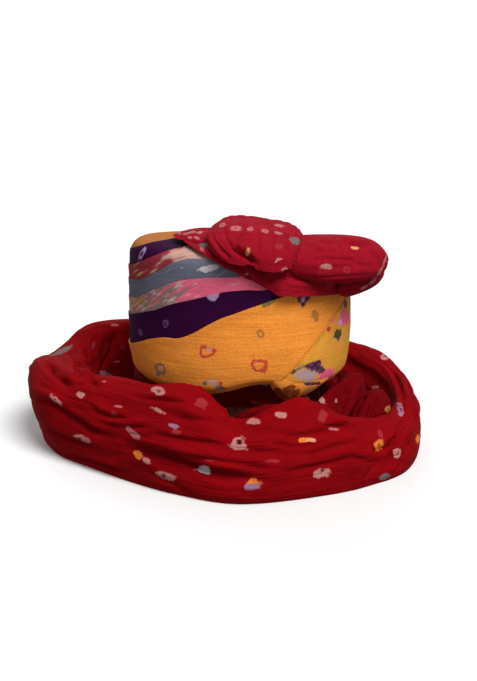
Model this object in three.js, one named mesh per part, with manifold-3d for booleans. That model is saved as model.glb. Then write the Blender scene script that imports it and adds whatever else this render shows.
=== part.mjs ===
// A tied pagri: a hollow wound crown dressed in lapped wraps, a red bundle folded over its top,
// and a long red tail that passes under the rim and lies round the crown in one big loop.
// Millimetres, +Z up, +Y away from the viewer. The origin is the middle of the footprint, on the floor.

import * as THREE from "three";
import { mergeVertices } from "three/addons/utils/BufferGeometryUtils.js";
import Module from "manifold-3d";

const wasm = await Module();
wasm.setup();

// Driving dimensions
const GAP = 0.4;
const CROWN = { x: 13.7, y: 8, halfWidth: 111.2, halfDepth: 107, rim: 76 };
const WRAP_THICKNESS = 3;
const WOUND_WALL = 14;
const BUNDLE_LAYER = 3;
// The top falls this many millimetres for each millimetre to the right and to the back.
const TOP_FALL = { right: 0.07, back: 0.09 };
const RIM_LIFT = { height: 12, atDegrees: 281, spanDegrees: 19, fadesAbove: 55 };

// The crown's outer profile from the rim to the top, as fractions of the half width and heights above the rim.
const CROWN_PROFILE = [
  { reach: 0.925, above: 0 },
  { reach: 0.975, above: 12 },
  { reach: 1.0, above: 40 },
  { reach: 0.995, above: 76 },
  { reach: 0.985, above: 104 },
  { reach: 0.96, above: 119 },
  { reach: 0.88, above: 126.5 },
  { reach: 0.7, above: 128.5 },
  { reach: 0.4, above: 127.5 },
  { reach: 0, above: 126.5 },
];

// Lapped wraps from the rim up. Each ends at a slanting plane: height at the crown's axis, and its rise
// in millimetres for each millimetre to the right (slantX) and to the back (slantY).
const WRAPS = [
  { name: "wrap_front", top: 145.5, slantX: 0.38, slantY: -0.15, proud: 1.2, colour: 0xce762c },
  { name: "wrap_purple_low", top: 166, slantX: 0.295, slantY: -0.17, proud: 0.6, colour: 0x300b2f },
  { name: "wrap_pink_low", top: 181.5, slantX: 0.28, slantY: -0.19, proud: 0.2, colour: 0xd26278 },
  { name: "wrap_grey", top: 200, slantX: 0.285, slantY: -0.21, proud: 0.5, colour: 0x50505d },
  { name: "wrap_pink_high", top: 210.5, slantX: 0.26, slantY: -0.22, proud: 0.1, colour: 0xaf8886 },
  { name: "wrap_purple_high", top: 225, slantX: 0.25, slantY: -0.23, proud: 0.4, colour: 0x300f29 },
  { name: "wrap_top", top: 400, slantX: 0, slantY: 0, proud: 0, colour: 0xb67844 },
];

// The right-hand end of the front wrap, where the golden wrap crosses over it.
const SIDE_CROSSING = { normal: [0.726, 0.015, -0.687], through: [116, -34, 156] };

// The red layer that drapes over the top: it is kept on the positive side of each plane.
const DRAPE_EDGES = [
  { normal: [0.462, 0.137, 0.876], through: [-57, 8, 213] },
  { normal: [0.1, 0.12, 1], through: [60, -95, 174] },
  { normal: [0.2, -1, 0], through: [-56, 18, 205] },
];

// Lobes of the folded bundle: centre, half sizes, lean about Y and turn about Z, ripple depth and count.
const BUNDLE_LOBES = [
  { name: "bundle_flap", centre: [-24, -18, 212], half: [34, 43, 9], lean: -4, turn: -34, ripple: 0.06, count: 5 },
  { name: "bundle_mid", centre: [31, -46, 207], half: [45, 70, 27], lean: 5, turn: -8, ripple: 0.05, count: 7 },
  { name: "bundle_end", centre: [102, -44, 194], half: [52, 56, 25], lean: 3, turn: 8, ripple: 0.05, count: 6 },
];
const BUNDLE_CREASES = [
  { normal: [0.93, 0.33, 0.12], through: [-8, -30, 215] },
  { normal: [0.97, -0.1, 0.22], through: [70, -30, 210] },
];

// The tail's outer loop, one row for each section round it, turned from +X through the back. The shoulder
// is 1 where the section is round and smaller where it stands square, and the belly is how far the outer
// flank swells past its foot.
const TAIL_LOOP = [
  { turn: 0, inner: 165, crest: 184, outer: 197, height: 53, shoulder: 0.85, belly: 4 },
  { turn: 28, inner: 160, crest: 186, outer: 193, height: 64, shoulder: 0.75, belly: 5 },
  { turn: 58, inner: 148, crest: 172, outer: 183, height: 70, shoulder: 0.8, belly: 6 },
  { turn: 90, inner: 136, crest: 160, outer: 175, height: 79, shoulder: 0.8, belly: 6 },
  { turn: 120, inner: 140, crest: 169, outer: 183, height: 87, shoulder: 0.75, belly: 6 },
  { turn: 145, inner: 150, crest: 188, outer: 194, height: 89, shoulder: 0.6, belly: 8 },
  { turn: 152, inner: 147, crest: 189, outer: 195, height: 80, shoulder: 0.55, belly: 8 },
  { turn: 160, inner: 143, crest: 189, outer: 194, height: 74, shoulder: 0.5, belly: 11 },
  { turn: 170, inner: 138, crest: 186, outer: 194, height: 78, shoulder: 0.5, belly: 13 },
  { turn: 179, inner: 133, crest: 180, outer: 190, height: 83, shoulder: 0.5, belly: 16 },
  { turn: 196, inner: 125, crest: 152, outer: 173, height: 85, shoulder: 0.6, belly: 20 },
  { turn: 213, inner: 116, crest: 129, outer: 152, height: 90, shoulder: 0.8, belly: 14 },
  { turn: 233, inner: 109, crest: 119, outer: 145, height: 91, shoulder: 0.9, belly: 10 },
  { turn: 252, inner: 108, crest: 118, outer: 150, height: 99, shoulder: 0.9, belly: 8 },
  { turn: 274, inner: 113, crest: 129, outer: 165, height: 68, shoulder: 0.9, belly: 9 },
  { turn: 304, inner: 126, crest: 142, outer: 174, height: 82, shoulder: 0.9, belly: 6 },
  { turn: 318, inner: 134, crest: 154, outer: 184, height: 62, shoulder: 0.9, belly: 5 },
  { turn: 333, inner: 146, crest: 168, outer: 196, height: 50, shoulder: 0.85, belly: 4 },
];

// The tail's inner turn, under the rim, about the crown's axis.
const TAIL_TURN = [
  { turn: 6, inner: 84, crest: 106, outer: 120, height: 52, shoulder: 0.8, belly: 0 },
  { turn: 24, inner: 84, crest: 99, outer: 114, height: 60, shoulder: 0.8, belly: 0 },
  { turn: 60, inner: 84, crest: 99, outer: 116, height: 77, shoulder: 0.8, belly: 0 },
  { turn: 120, inner: 84, crest: 99, outer: 116, height: 77, shoulder: 0.8, belly: 0 },
  { turn: 180, inner: 84, crest: 99, outer: 115, height: 77, shoulder: 0.8, belly: 0 },
  { turn: 235, inner: 84, crest: 98, outer: 110, height: 77, shoulder: 0.8, belly: 0 },
  { turn: 256, inner: 84, crest: 96, outer: 108, height: 46, shoulder: 0.8, belly: 0 },
  { turn: 277, inner: 84, crest: 96, outer: 109, height: 63, shoulder: 0.8, belly: 0 },
  { turn: 296, inner: 84, crest: 99, outer: 114, height: 66, shoulder: 0.9, belly: 0 },
  { turn: 316, inner: 84, crest: 104, outer: 121, height: 63, shoulder: 0.9, belly: 0 },
  { turn: 336, inner: 84, crest: 115, outer: 130, height: 70, shoulder: 0.8, belly: 0 },
  { turn: 352, inner: 84, crest: 122, outer: 133, height: 73, shoulder: 0.8, belly: 0 },
];

// Long folds on a tail: where each lies on the flank in degrees up from the foot, how far it wanders,
// how often it wanders in one turn of the loop, its phase in degrees, and its depth.
const TAIL_FOLDS = [
  { flank: 24, wander: 9, waves: 2, phase: 40, depth: 4.5 },
  { flank: 50, wander: 8, waves: 3, phase: 150, depth: 5 },
  { flank: 76, wander: 10, waves: 2, phase: 260, depth: 4 },
  { flank: 128, wander: 12, waves: 3, phase: 80, depth: 4 },
];
const FOLD_WIDTH_DEGREES = 9;
const BELLY_ROUND = 0.5;

// A loose fold of the tail between its two turns, and the end of the yellow cloth tucked under the lifted rim.
const TAIL_FOLD = { centre: [138, -46, 14], half: [22, 38, 58], lean: 12, turn: -26, ripple: 0.05, count: 5 };
const RIM_TUCK = { centre: [62, -77, 78], half: [25, 6, 10], lean: 12, turn: 24, ripple: 0.04, count: 4 };

// Facets
const AROUND = 38;
const LOBE_STEPS = { around: 20, down: 10 };
const LOOP_STEPS = { along: 52, foot: 2, flank: 8 };
const TURN_STEPS = { along: 34, foot: 2, flank: 6 };

const RED = 0x8c0812;
const YELLOW = 0xce762c;
const GOLDEN = 0xc78332;

const radians = THREE.MathUtils.degToRad;

function clothMaterial(colour) {
  return new THREE.MeshStandardMaterial({ color: colour, roughness: 0.92, metalness: 0 });
}

// A closed geometry as a solid that can be cut.
function solidFrom(geometry) {
  const bare = new THREE.BufferGeometry().setAttribute("position", geometry.getAttribute("position"));
  bare.setIndex(geometry.getIndex());
  const merged = mergeVertices(bare, 1e-3);
  const faces = [];
  const index = merged.getIndex().array;
  for (let i = 0; i < index.length; i += 3) {
    const [a, b, c] = index.slice(i, i + 3);
    if (a !== b && b !== c && c !== a) faces.push(a, b, c);
  }
  const made = new wasm.Manifold(
    new wasm.Mesh({
      numProp: 3,
      vertProperties: merged.getAttribute("position").array,
      triVerts: new Uint32Array(faces),
    }),
  );
  return made;
}

function pieceFrom(name, solid, colour) {
  const { numProp, vertProperties, triVerts } = solid.getMesh();
  const places = new Float32Array((vertProperties.length / numProp) * 3);
  for (let i = 0; i < places.length / 3; i++)
    places.set(vertProperties.subarray(i * numProp, i * numProp + 3), i * 3);
  const geometry = new THREE.BufferGeometry();
  geometry.setAttribute("position", new THREE.BufferAttribute(places, 3));
  geometry.setIndex(new THREE.BufferAttribute(triVerts, 1));
  geometry.computeVertexNormals();
  const piece = new THREE.Mesh(geometry, clothMaterial(colour));
  piece.name = name;
  return piece;
}

// Keeps what lies on the positive side of a plane, moved along its normal by shift.
function keepAbove(solid, { normal, through }, shift = 0) {
  const direction = new THREE.Vector3(...normal).normalize();
  const offset = direction.dot(new THREE.Vector3(...through)) + shift;
  return solid.trimByPlane(direction.toArray(), offset);
}

function keepBelow(solid, { normal, through }, shift = 0) {
  return keepAbove(solid, { normal: normal.map((n) => -n), through }, shift);
}

// Moves every vertex of a geometry by a function of its place.
function reshape(geometry, place) {
  const points = geometry.getAttribute("position");
  const point = new THREE.Vector3();
  for (let i = 0; i < points.count; i++) {
    point.fromBufferAttribute(points, i);
    points.setXYZ(i, ...place(point).toArray());
  }
  return geometry;
}

// Crown

const FALL_SPAN = [CROWN.rim + 20, CROWN.rim + 130];
const profileCurve = new THREE.SplineCurve(
  CROWN_PROFILE.map(({ reach, above }) => new THREE.Vector2(reach * CROWN.halfWidth, CROWN.rim + above)),
);

// The crown's profile, inset by a distance along its own normal, from the rim to the axis.
function profilePoints(inset) {
  const points = [];
  const steps = CROWN_PROFILE.length - 1;
  for (let i = 0; i <= steps; i++) {
    const t = i / steps;
    const tangent = profileCurve.getTangent(t);
    const point = profileCurve.getPoint(t).add(new THREE.Vector2(-tangent.y, tangent.x).multiplyScalar(inset));
    if (i === steps) point.x = 0;
    if (i === 0) point.y = CROWN.rim;
    points.push(point);
  }
  return points;
}

// How far the front of the rim is lifted at a turn about the crown's axis.
function rimLift(turn, height) {
  const away = THREE.MathUtils.euclideanModulo(turn - radians(RIM_LIFT.atDegrees) + Math.PI, 2 * Math.PI) - Math.PI;
  const bump = Math.exp(-((away / radians(RIM_LIFT.spanDegrees)) ** 2));
  const fade = THREE.MathUtils.clamp(1 - (height - CROWN.rim) / RIM_LIFT.fadesAbove, 0, 1);
  return RIM_LIFT.height * bump * fade;
}

// A lathed profile stood up along Z, made oval, with its rim lifted at the front, and set on the crown's axis.
function crownTurned(profile) {
  const lathe = new THREE.LatheGeometry(profile, AROUND).rotateX(Math.PI / 2);
  return solidFrom(
    reshape(lathe, (p) => {
      const turn = Math.atan2(p.y, p.x);
      const back = (p.y * CROWN.halfDepth) / CROWN.halfWidth;
      const fall = (TOP_FALL.right * p.x + TOP_FALL.back * back) * THREE.MathUtils.smoothstep(p.z, ...FALL_SPAN);
      return new THREE.Vector3(CROWN.x + p.x, CROWN.y + back, p.z + rimLift(turn, p.z) - fall);
    }),
  );
}

// A shell of the crown between two insets, open at the rim.
function crownShell(outerInset, innerInset) {
  return crownTurned([...profilePoints(innerInset).reverse(), ...profilePoints(outerInset)]);
}

// The whole crown filled in, for cutting what lies on it.
function crownFilled(inset) {
  return crownTurned([new THREE.Vector2(0, CROWN.rim), ...profilePoints(inset)]);
}

function wrapPlane({ top, slantX, slantY }) {
  return { normal: [-slantX, -slantY, 1], through: [CROWN.x, CROWN.y, top] };
}

function crownPieces() {
  const pieces = [
    pieceFrom("crown_base", crownShell(WRAP_THICKNESS + GAP, WRAP_THICKNESS + GAP + WOUND_WALL), YELLOW),
  ];
  WRAPS.forEach((wrap, i) => {
    let band = crownShell(-wrap.proud, WRAP_THICKNESS);
    if (i > 0) band = keepAbove(band, wrapPlane(WRAPS[i - 1]), GAP / 2);
    if (i < WRAPS.length - 1) band = keepBelow(band, wrapPlane(wrap), GAP / 2);
    if (i > 0) {
      pieces.push(pieceFrom(wrap.name, band, wrap.colour));
      return;
    }
    pieces.push(pieceFrom(wrap.name, keepBelow(band, SIDE_CROSSING, GAP / 2), wrap.colour));
    pieces.push(pieceFrom("wrap_side", keepAbove(band, SIDE_CROSSING, GAP / 2), GOLDEN));
  });
  const wall = crownShell(-GAP - WRAPS[0].proud, WRAP_THICKNESS + WOUND_WALL + 2 * GAP).translate(0, 0, -GAP);
  pieces.push(pieceFrom("rim_tuck", lobe(RIM_TUCK).subtract(wall).subtract(innerTurn(GAP)), YELLOW));
  return pieces;
}

// Bundle

// A rippled, egg-shaped lobe of folded cloth.
function lobe({ centre, half, lean, turn, ripple, count }) {
  const ball = new THREE.SphereGeometry(1, LOBE_STEPS.around, LOBE_STEPS.down);
  reshape(ball, (p) => {
    const swell = 1 + ripple * Math.cos(count * Math.atan2(p.z, p.x)) * (1 - p.y * p.y);
    return new THREE.Vector3(p.x * half[0] * swell, p.y * half[1], p.z * half[2] * swell);
  });
  ball.rotateY(radians(lean)).rotateZ(radians(turn)).translate(...centre);
  return solidFrom(ball);
}

function bundlePieces() {
  const proudest = Math.max(...WRAPS.map((wrap) => wrap.proud));
  const layerFoot = -proudest - GAP;
  let layer = crownShell(layerFoot - BUNDLE_LAYER, layerFoot);
  DRAPE_EDGES.forEach((edge) => {
    layer = keepAbove(layer, edge);
  });
  const carried = crownFilled(layerFoot - BUNDLE_LAYER - GAP);
  const lobes = BUNDLE_LOBES.map((row, i) => {
    let made = lobe(row).subtract(carried);
    if (i > 0) made = keepAbove(made, BUNDLE_CREASES[i - 1], GAP / 2);
    if (i < BUNDLE_CREASES.length) made = keepBelow(made, BUNDLE_CREASES[i], GAP / 2);
    return pieceFrom(row.name, made, RED);
  });
  return [pieceFrom("bundle_under", layer, RED), ...lobes];
}

// Tail

// A closed curve through one column of a tail's table, carrying another column as its height.
function tailLine(rows, reach, level) {
  const points = rows.map((row) => {
    const turn = radians(row.turn);
    return new THREE.Vector3(row[reach] * Math.cos(turn), row[reach] * Math.sin(turn), row[level]);
  });
  return new THREE.CatmullRomCurve3(points, true);
}

// How deep the long folds bite into a flank at a place along the tail.
function foldDepth(along, flank) {
  return TAIL_FOLDS.reduce((deep, fold) => {
    const line = fold.flank + fold.wander * Math.sin(2 * Math.PI * fold.waves * along + radians(fold.phase));
    return deep + fold.depth * Math.exp(-(((flank - line) / FOLD_WIDTH_DEGREES) ** 2));
  }, 0);
}

// One turn of the tail: a flat foot, an outer flank up to the crest, and an inner flank down again.
function tailTurn(rows, centre, steps, grow = 0) {
  const inner = tailLine(rows, "inner", "belly");
  const crest = tailLine(rows, "crest", "height");
  const outer = tailLine(rows, "outer", "shoulder");
  const round = steps.foot + 2 * steps.flank;
  const torus = new THREE.TorusGeometry(2, 1, round, steps.along);
  const uv = torus.getAttribute("uv");
  const points = torus.getAttribute("position");
  for (let i = 0; i < points.count; i++) {
    const along = uv.getX(i) % 1;
    const step = Math.round(uv.getY(i) * round) % round;
    const [footIn, top, footOut] = [inner, crest, outer].map((line) => line.getPoint(along));
    const [belly, height, shoulder] = [footIn.z, top.z, footOut.z];
    [footIn, top, footOut].forEach((point) => point.setZ(0));
    let place = footIn.clone().lerp(footOut, step / steps.foot);
    const outward = footOut.clone().sub(footIn).normalize();
    let swell = grow * (2 * (step / steps.foot) - 1);
    if (step >= steps.foot) {
      const flank = ((step - steps.foot) / (2 * steps.flank)) * Math.PI;
      const side = Math.sign(Math.cos(flank));
      const reach = Math.abs(Math.cos(flank)) ** shoulder;
      const rise = Math.sin(flank) ** shoulder;
      const bite = foldDepth(along, THREE.MathUtils.radToDeg(flank)) * rise;
      place = top.clone().lerp(side > 0 ? footOut : footIn, reach);
      place.z = (height + grow - bite) * rise;
      swell = side * (grow - bite) * reach + (side > 0 ? belly * Math.sin(2 * flank) ** BELLY_ROUND : 0);
    }
    place.addScaledVector(outward, swell);
    points.setXYZ(i, centre.x + place.x, centre.y + place.y, place.z);
  }
  return solidFrom(torus);
}

function outerLoop(grow = 0) {
  return tailTurn(TAIL_LOOP, { x: 0, y: 0 }, LOOP_STEPS, grow);
}

// The inner turn, pressed flat where the rim sits on it.
function innerTurn(grow = 0) {
  const seat = { normal: [0, 0, 1], through: [0, 0, CROWN.rim - GAP + grow] };
  return keepBelow(tailTurn(TAIL_TURN, CROWN, TURN_STEPS, grow), seat);
}

function tailPieces() {
  const floor = { normal: [0, 0, 1], through: [0, 0, 0] };
  const fold = keepAbove(lobe(TAIL_FOLD), floor).subtract(outerLoop(GAP)).subtract(innerTurn(GAP));
  return [
    pieceFrom("tail_loop", outerLoop(), RED),
    pieceFrom("tail_turn", innerTurn(), RED),
    pieceFrom("tail_fold", fold, RED),
  ];
}

// Assembly, with the origin at the middle of the footprint

const pagri = new THREE.Group();
pagri.add(...crownPieces(), ...bundlePieces(), ...tailPieces());
const extent = new THREE.Box3().setFromObject(pagri);
const middle = extent.getCenter(new THREE.Vector3());
pagri.position.set(-middle.x, -middle.y, -extent.min.z);

export default pagri;
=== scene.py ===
"""A tied pagri: a hollow wound crown in lapped dyed wraps, a red bundle over its top, and a long red tail.

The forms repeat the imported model's tables, in millimetres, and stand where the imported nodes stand.
"""

import logging
import math
from dataclasses import dataclass, field
from enum import Enum

import bpy
import numpy as np
from mathutils import Matrix, Vector
from mathutils.bvhtree import BVHTree
from mathutils.kdtree import KDTree


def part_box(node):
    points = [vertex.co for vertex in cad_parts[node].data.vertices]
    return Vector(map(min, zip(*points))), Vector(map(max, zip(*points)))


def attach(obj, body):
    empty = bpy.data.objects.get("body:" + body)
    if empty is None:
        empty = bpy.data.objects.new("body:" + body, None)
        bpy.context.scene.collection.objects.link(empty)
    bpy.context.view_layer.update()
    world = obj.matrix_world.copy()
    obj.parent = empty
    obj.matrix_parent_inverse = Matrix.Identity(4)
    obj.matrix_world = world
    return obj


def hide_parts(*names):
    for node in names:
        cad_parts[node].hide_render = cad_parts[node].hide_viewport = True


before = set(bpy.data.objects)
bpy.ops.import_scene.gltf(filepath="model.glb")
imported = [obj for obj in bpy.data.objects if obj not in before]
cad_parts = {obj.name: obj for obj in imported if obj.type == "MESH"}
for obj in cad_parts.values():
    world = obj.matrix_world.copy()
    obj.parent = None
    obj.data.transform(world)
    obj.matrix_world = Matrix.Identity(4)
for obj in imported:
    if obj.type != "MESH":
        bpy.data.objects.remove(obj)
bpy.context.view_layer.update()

log = logging.getLogger("pagri")
# Metres in a millimetre, the gaps in millimetres between pieces and to the floor, and a whole turn
MM = 0.001
GAP = 0.4
FLOOR_GAP = 0.1
TURN = 2 * math.pi
# A length that stands for none, the distance in metres within which doubled points are merged, and the
# angle in degrees from which an edge stays sharp
TINY = 1e-9
MERGE_WITHIN = 2e-6
SHARP_FROM = 55
# Closed sheets have their seam at the back: as a turn, and as a share of the way along the tail
SEAM_TURN = math.pi / 2
SEAM_SHARE = 0.25

# How far the wound wall lies inside the wraps, its thickness, and the crown's axis from the loop's middle
WRAP_INSET = 3.4
WOUND_WALL = 14
AXIS_FROM_LOOP = (13.7, 8.0)
# The point that the photo's camera looks at, from the loop's middle
LENS_AIM = (12.6, 0, 105.0)
# The lifted front of the rim: its height, its middle and span in degrees, and how far up it fades
RIM_LIFT = {"height": 12, "at": 281, "span": 19, "fades_above": 55}
# The top's fall for each millimetre to the right and to the back, and the rises between which it sets in
TOP_FALL = {"right": 0.07, "back": 0.09, "from_rise": 20, "to_rise": 130}
# Profiles from the rim to the axis: fractions of the half width, and heights above the rim
CROWN_PROFILE = [
    (0.925, 0), (0.975, 12), (1.0, 40), (0.995, 76), (0.985, 104),
    (0.96, 119), (0.88, 126.5), (0.7, 128.5), (0.4, 127.5), (0, 126.5),
]
RIM_ROLL = [(0.8, 0.5), (0.86, 0.3), (0.905, 1.2), (0.935, 4.5)]


class MarkKind(Enum):
    """The shapes that a tied and dyed dot takes."""

    BLOB = "blob"
    RING = "ring"
    PIT = "pit"
    LOOP = "loop"
    HEART = "heart"
    TENT = "tent"
    MOON = "moon"
    BOWL = "bowl"


class Dye(Enum):
    """The colours of the tied dots as they read in daylight, and a brown that paints shade on the tuck."""

    WHITE = (186, 122, 118)
    CHALK = (196, 188, 190)
    LILAC = (150, 108, 132)
    GREY = (112, 102, 98)
    PALE = (180, 104, 108)
    FAINT = (150, 40, 48)
    ORANGE = (212, 118, 50)
    PEACH = (214, 148, 104)
    ROSE = (196, 60, 56)
    PINK = (198, 84, 104)
    VIOLET = (66, 24, 74)
    GREEN = (92, 104, 66)
    SLATE = (118, 106, 104)
    TAN = (172, 112, 58)
    BROWN = (112, 44, 16)
    # Painted shade: a brown for the tuck where it hangs in shadow under the rim
    MAROON = (66, 3, 12)
    FUCHSIA = (234, 92, 134)
    CORAL = (246, 128, 104)
    PETAL = (218, 162, 196)
    SHELL = (214, 160, 140)
    MIST = (180, 152, 160)
    MOSS = (62, 64, 44)
    MAUVE = (170, 140, 178)
    PLUM = (104, 62, 104)


@dataclass(frozen=True)
class Mark:
    """One dye mark: its middle and half sizes in photo pixels, its turn in degrees, its kind and dye."""

    x: float
    y: float
    wide: float
    tall: float
    turn: float
    kind: MarkKind
    dye: Dye


def linear(colour: tuple[int, int, int]) -> tuple[float, float, float, float]:
    """Turns a display colour into a linear one, by the sRGB curve.

    Args:
        colour: red, green and blue from 0 to 255.

    Returns:
        Linear red, green, blue and full alpha.
    """
    parts = [c / 255 for c in colour]
    toned = [p / 12.92 if p <= 0.04045 else ((p + 0.055) / 1.055) ** 2.4 for p in parts]
    return (*toned, 1.0)


def ramp(values: np.ndarray, low: float, high: float) -> np.ndarray:
    """A smooth step from 0 at low to 1 at high."""
    t = np.clip((values - low) / (high - low), 0, 1)
    return t * t * (3 - 2 * t)


def run_lengths(points: np.ndarray) -> np.ndarray:
    """How long a line of points is from its start to each of them."""
    return np.concatenate([[0], np.cumsum(np.linalg.norm(np.diff(points, axis=0), axis=1))])


def soft_noise(points: np.ndarray, pitch: float, seed: int) -> np.ndarray:
    """Smooth seeded noise that repeats only far away.

    Args:
        points: places in millimetres, the last axis holding x, y and z.
        pitch: the distance between the noise's own lattice points.
        seed: chooses the lattice.

    Returns:
        Values from -1 to 1, one for each place.
    """
    side = 32
    lattice = np.random.default_rng(seed).uniform(-1, 1, (side, side, side))
    scaled = np.asarray(points) / pitch
    cell = np.floor(scaled).astype(int)
    part = scaled - cell
    part = part * part * (3 - 2 * part)
    total = np.zeros(scaled.shape[:-1])
    for corner in np.ndindex(2, 2, 2):
        weight = np.ones(scaled.shape[:-1])
        for axis in range(3):
            share = part[..., axis]
            weight = weight * (share if corner[axis] else 1 - share)
        at = (cell + np.array(corner)) % side
        total += weight * lattice[at[..., 0], at[..., 1], at[..., 2]]
    return total


@dataclass(frozen=True)
class Waves:
    """Seeded soft waves: their height, the distance between them in millimetres, and their seed."""

    height: float
    pitch: float
    seed: int

    def at(self, places: np.ndarray, more: int = 0) -> np.ndarray:
        """The height of the waves at some places, with more added to their seed."""
        return self.height * soft_noise(places, self.pitch, self.seed + more)


def open_spline(rows: list[tuple[float, float]], t: np.ndarray) -> np.ndarray:
    """An even Catmull-Rom curve through table rows.

    Args:
        rows: the points that the curve passes through.
        t: places along it, from 0 to 1.

    Returns:
        The points of the curve.
    """
    points = np.array(rows, float)
    last = len(points) - 1
    along = np.clip(t, 0, 1) * last
    i = np.minimum(np.floor(along).astype(int), last - 1)
    w = (along - i)[:, None]
    before, here = points[np.maximum(i - 1, 0)], points[i]
    after, beyond = points[i + 1], points[np.minimum(i + 2, last)]
    leave, arrive = (after - before) / 2, (beyond - here) / 2
    cubic = 2 * here - 2 * after + leave + arrive
    square = -3 * here + 3 * after - 2 * leave - arrive
    return ((cubic * w + square) * w + leave) * w + here


def closed_spline(points: np.ndarray, t: np.ndarray) -> np.ndarray:
    """A closed centripetal Catmull-Rom curve.

    Args:
        points: the points that the curve passes through.
        t: places along it, from 0 to 1.

    Returns:
        The points of the curve.
    """
    count = len(points)
    along = np.mod(t, 1) * count
    i = np.floor(along).astype(int) % count
    w = (along - np.floor(along))[:, None]
    p = [points[(i + k) % count] for k in (-1, 0, 1, 2)]
    d = [np.linalg.norm(p[k + 1] - p[k], axis=1)[:, None] ** 0.5 for k in range(3)]
    leave = ((p[1] - p[0]) / d[0] - (p[2] - p[0]) / (d[0] + d[1]) + (p[2] - p[1]) / d[1]) * d[1]
    arrive = ((p[2] - p[1]) / d[1] - (p[3] - p[1]) / (d[1] + d[2]) + (p[3] - p[2]) / d[2]) * d[1]
    cubic = 2 * p[1] - 2 * p[2] + leave + arrive
    square = -3 * p[1] + 3 * p[2] - 2 * leave - arrive
    return ((cubic * w + square) * w + leave) * w + p[1]


@dataclass(frozen=True)
class PhotoLens:
    """The camera that took the photo, in the frame of the tail's loop, in millimetres and photo pixels."""

    aim: np.ndarray
    distance: float = 1250.0
    elevation: float = 17.0
    width: int = 477
    height: int = 681
    focal: float = 1237.6
    sensor: float = 36.0

    def axes(self) -> tuple[np.ndarray, np.ndarray, np.ndarray]:
        """The picture's right, its up, and the way back to the camera."""
        tilt = math.radians(self.elevation)
        right = np.array([1.0, 0, 0])
        up = np.array([0, math.sin(tilt), math.cos(tilt)])
        return right, up, np.array([0, -math.cos(tilt), math.sin(tilt)])

    def eye(self) -> np.ndarray:
        """The camera's place."""
        return self.aim + self.axes()[2] * self.distance

    def ray(self, x: float, y: float) -> np.ndarray:
        """The unit direction in which a photo pixel looks."""
        right, up, back = self.axes()
        way = right * (x - self.width / 2) + up * (self.height / 2 - y) - back * self.focal
        return way / np.linalg.norm(way)


# How far a crease reaches, in widths and in millimetres more; the share of its line over which each end
# fades, and the strength left there; and the middle and breadth of its lip, in widths
CREASE_REACH = {"widths": 4, "more": 6}
CREASE_END = {"share": 0.2, "strength": 0.15}
CREASE_LIP = {"middle": 2, "breadth": 1.5}


@dataclass(frozen=True)
class Crease:
    """A fold line seen in the photo: its pixels, how deep and wide its valley is (a ridge has a depth under
    nought), how high its lip is, and the way in the picture, right and up, in which the lip lies."""

    line: list[tuple[float, float]]
    depth: float
    width: float
    lip: float = 0.0
    towards: tuple[float, float] = (0.0, 1.0)

    def pixels(self, step: float = 2.0) -> np.ndarray:
        """The line's points at an even step, in photo pixels."""
        corners = np.array(self.line, float)
        lengths = run_lengths(corners)
        at = np.linspace(0, lengths[-1], max(2, int(lengths[-1] / step)))
        return np.stack([np.interp(at, lengths, corners[:, k]) for k in range(2)], 1)


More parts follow.
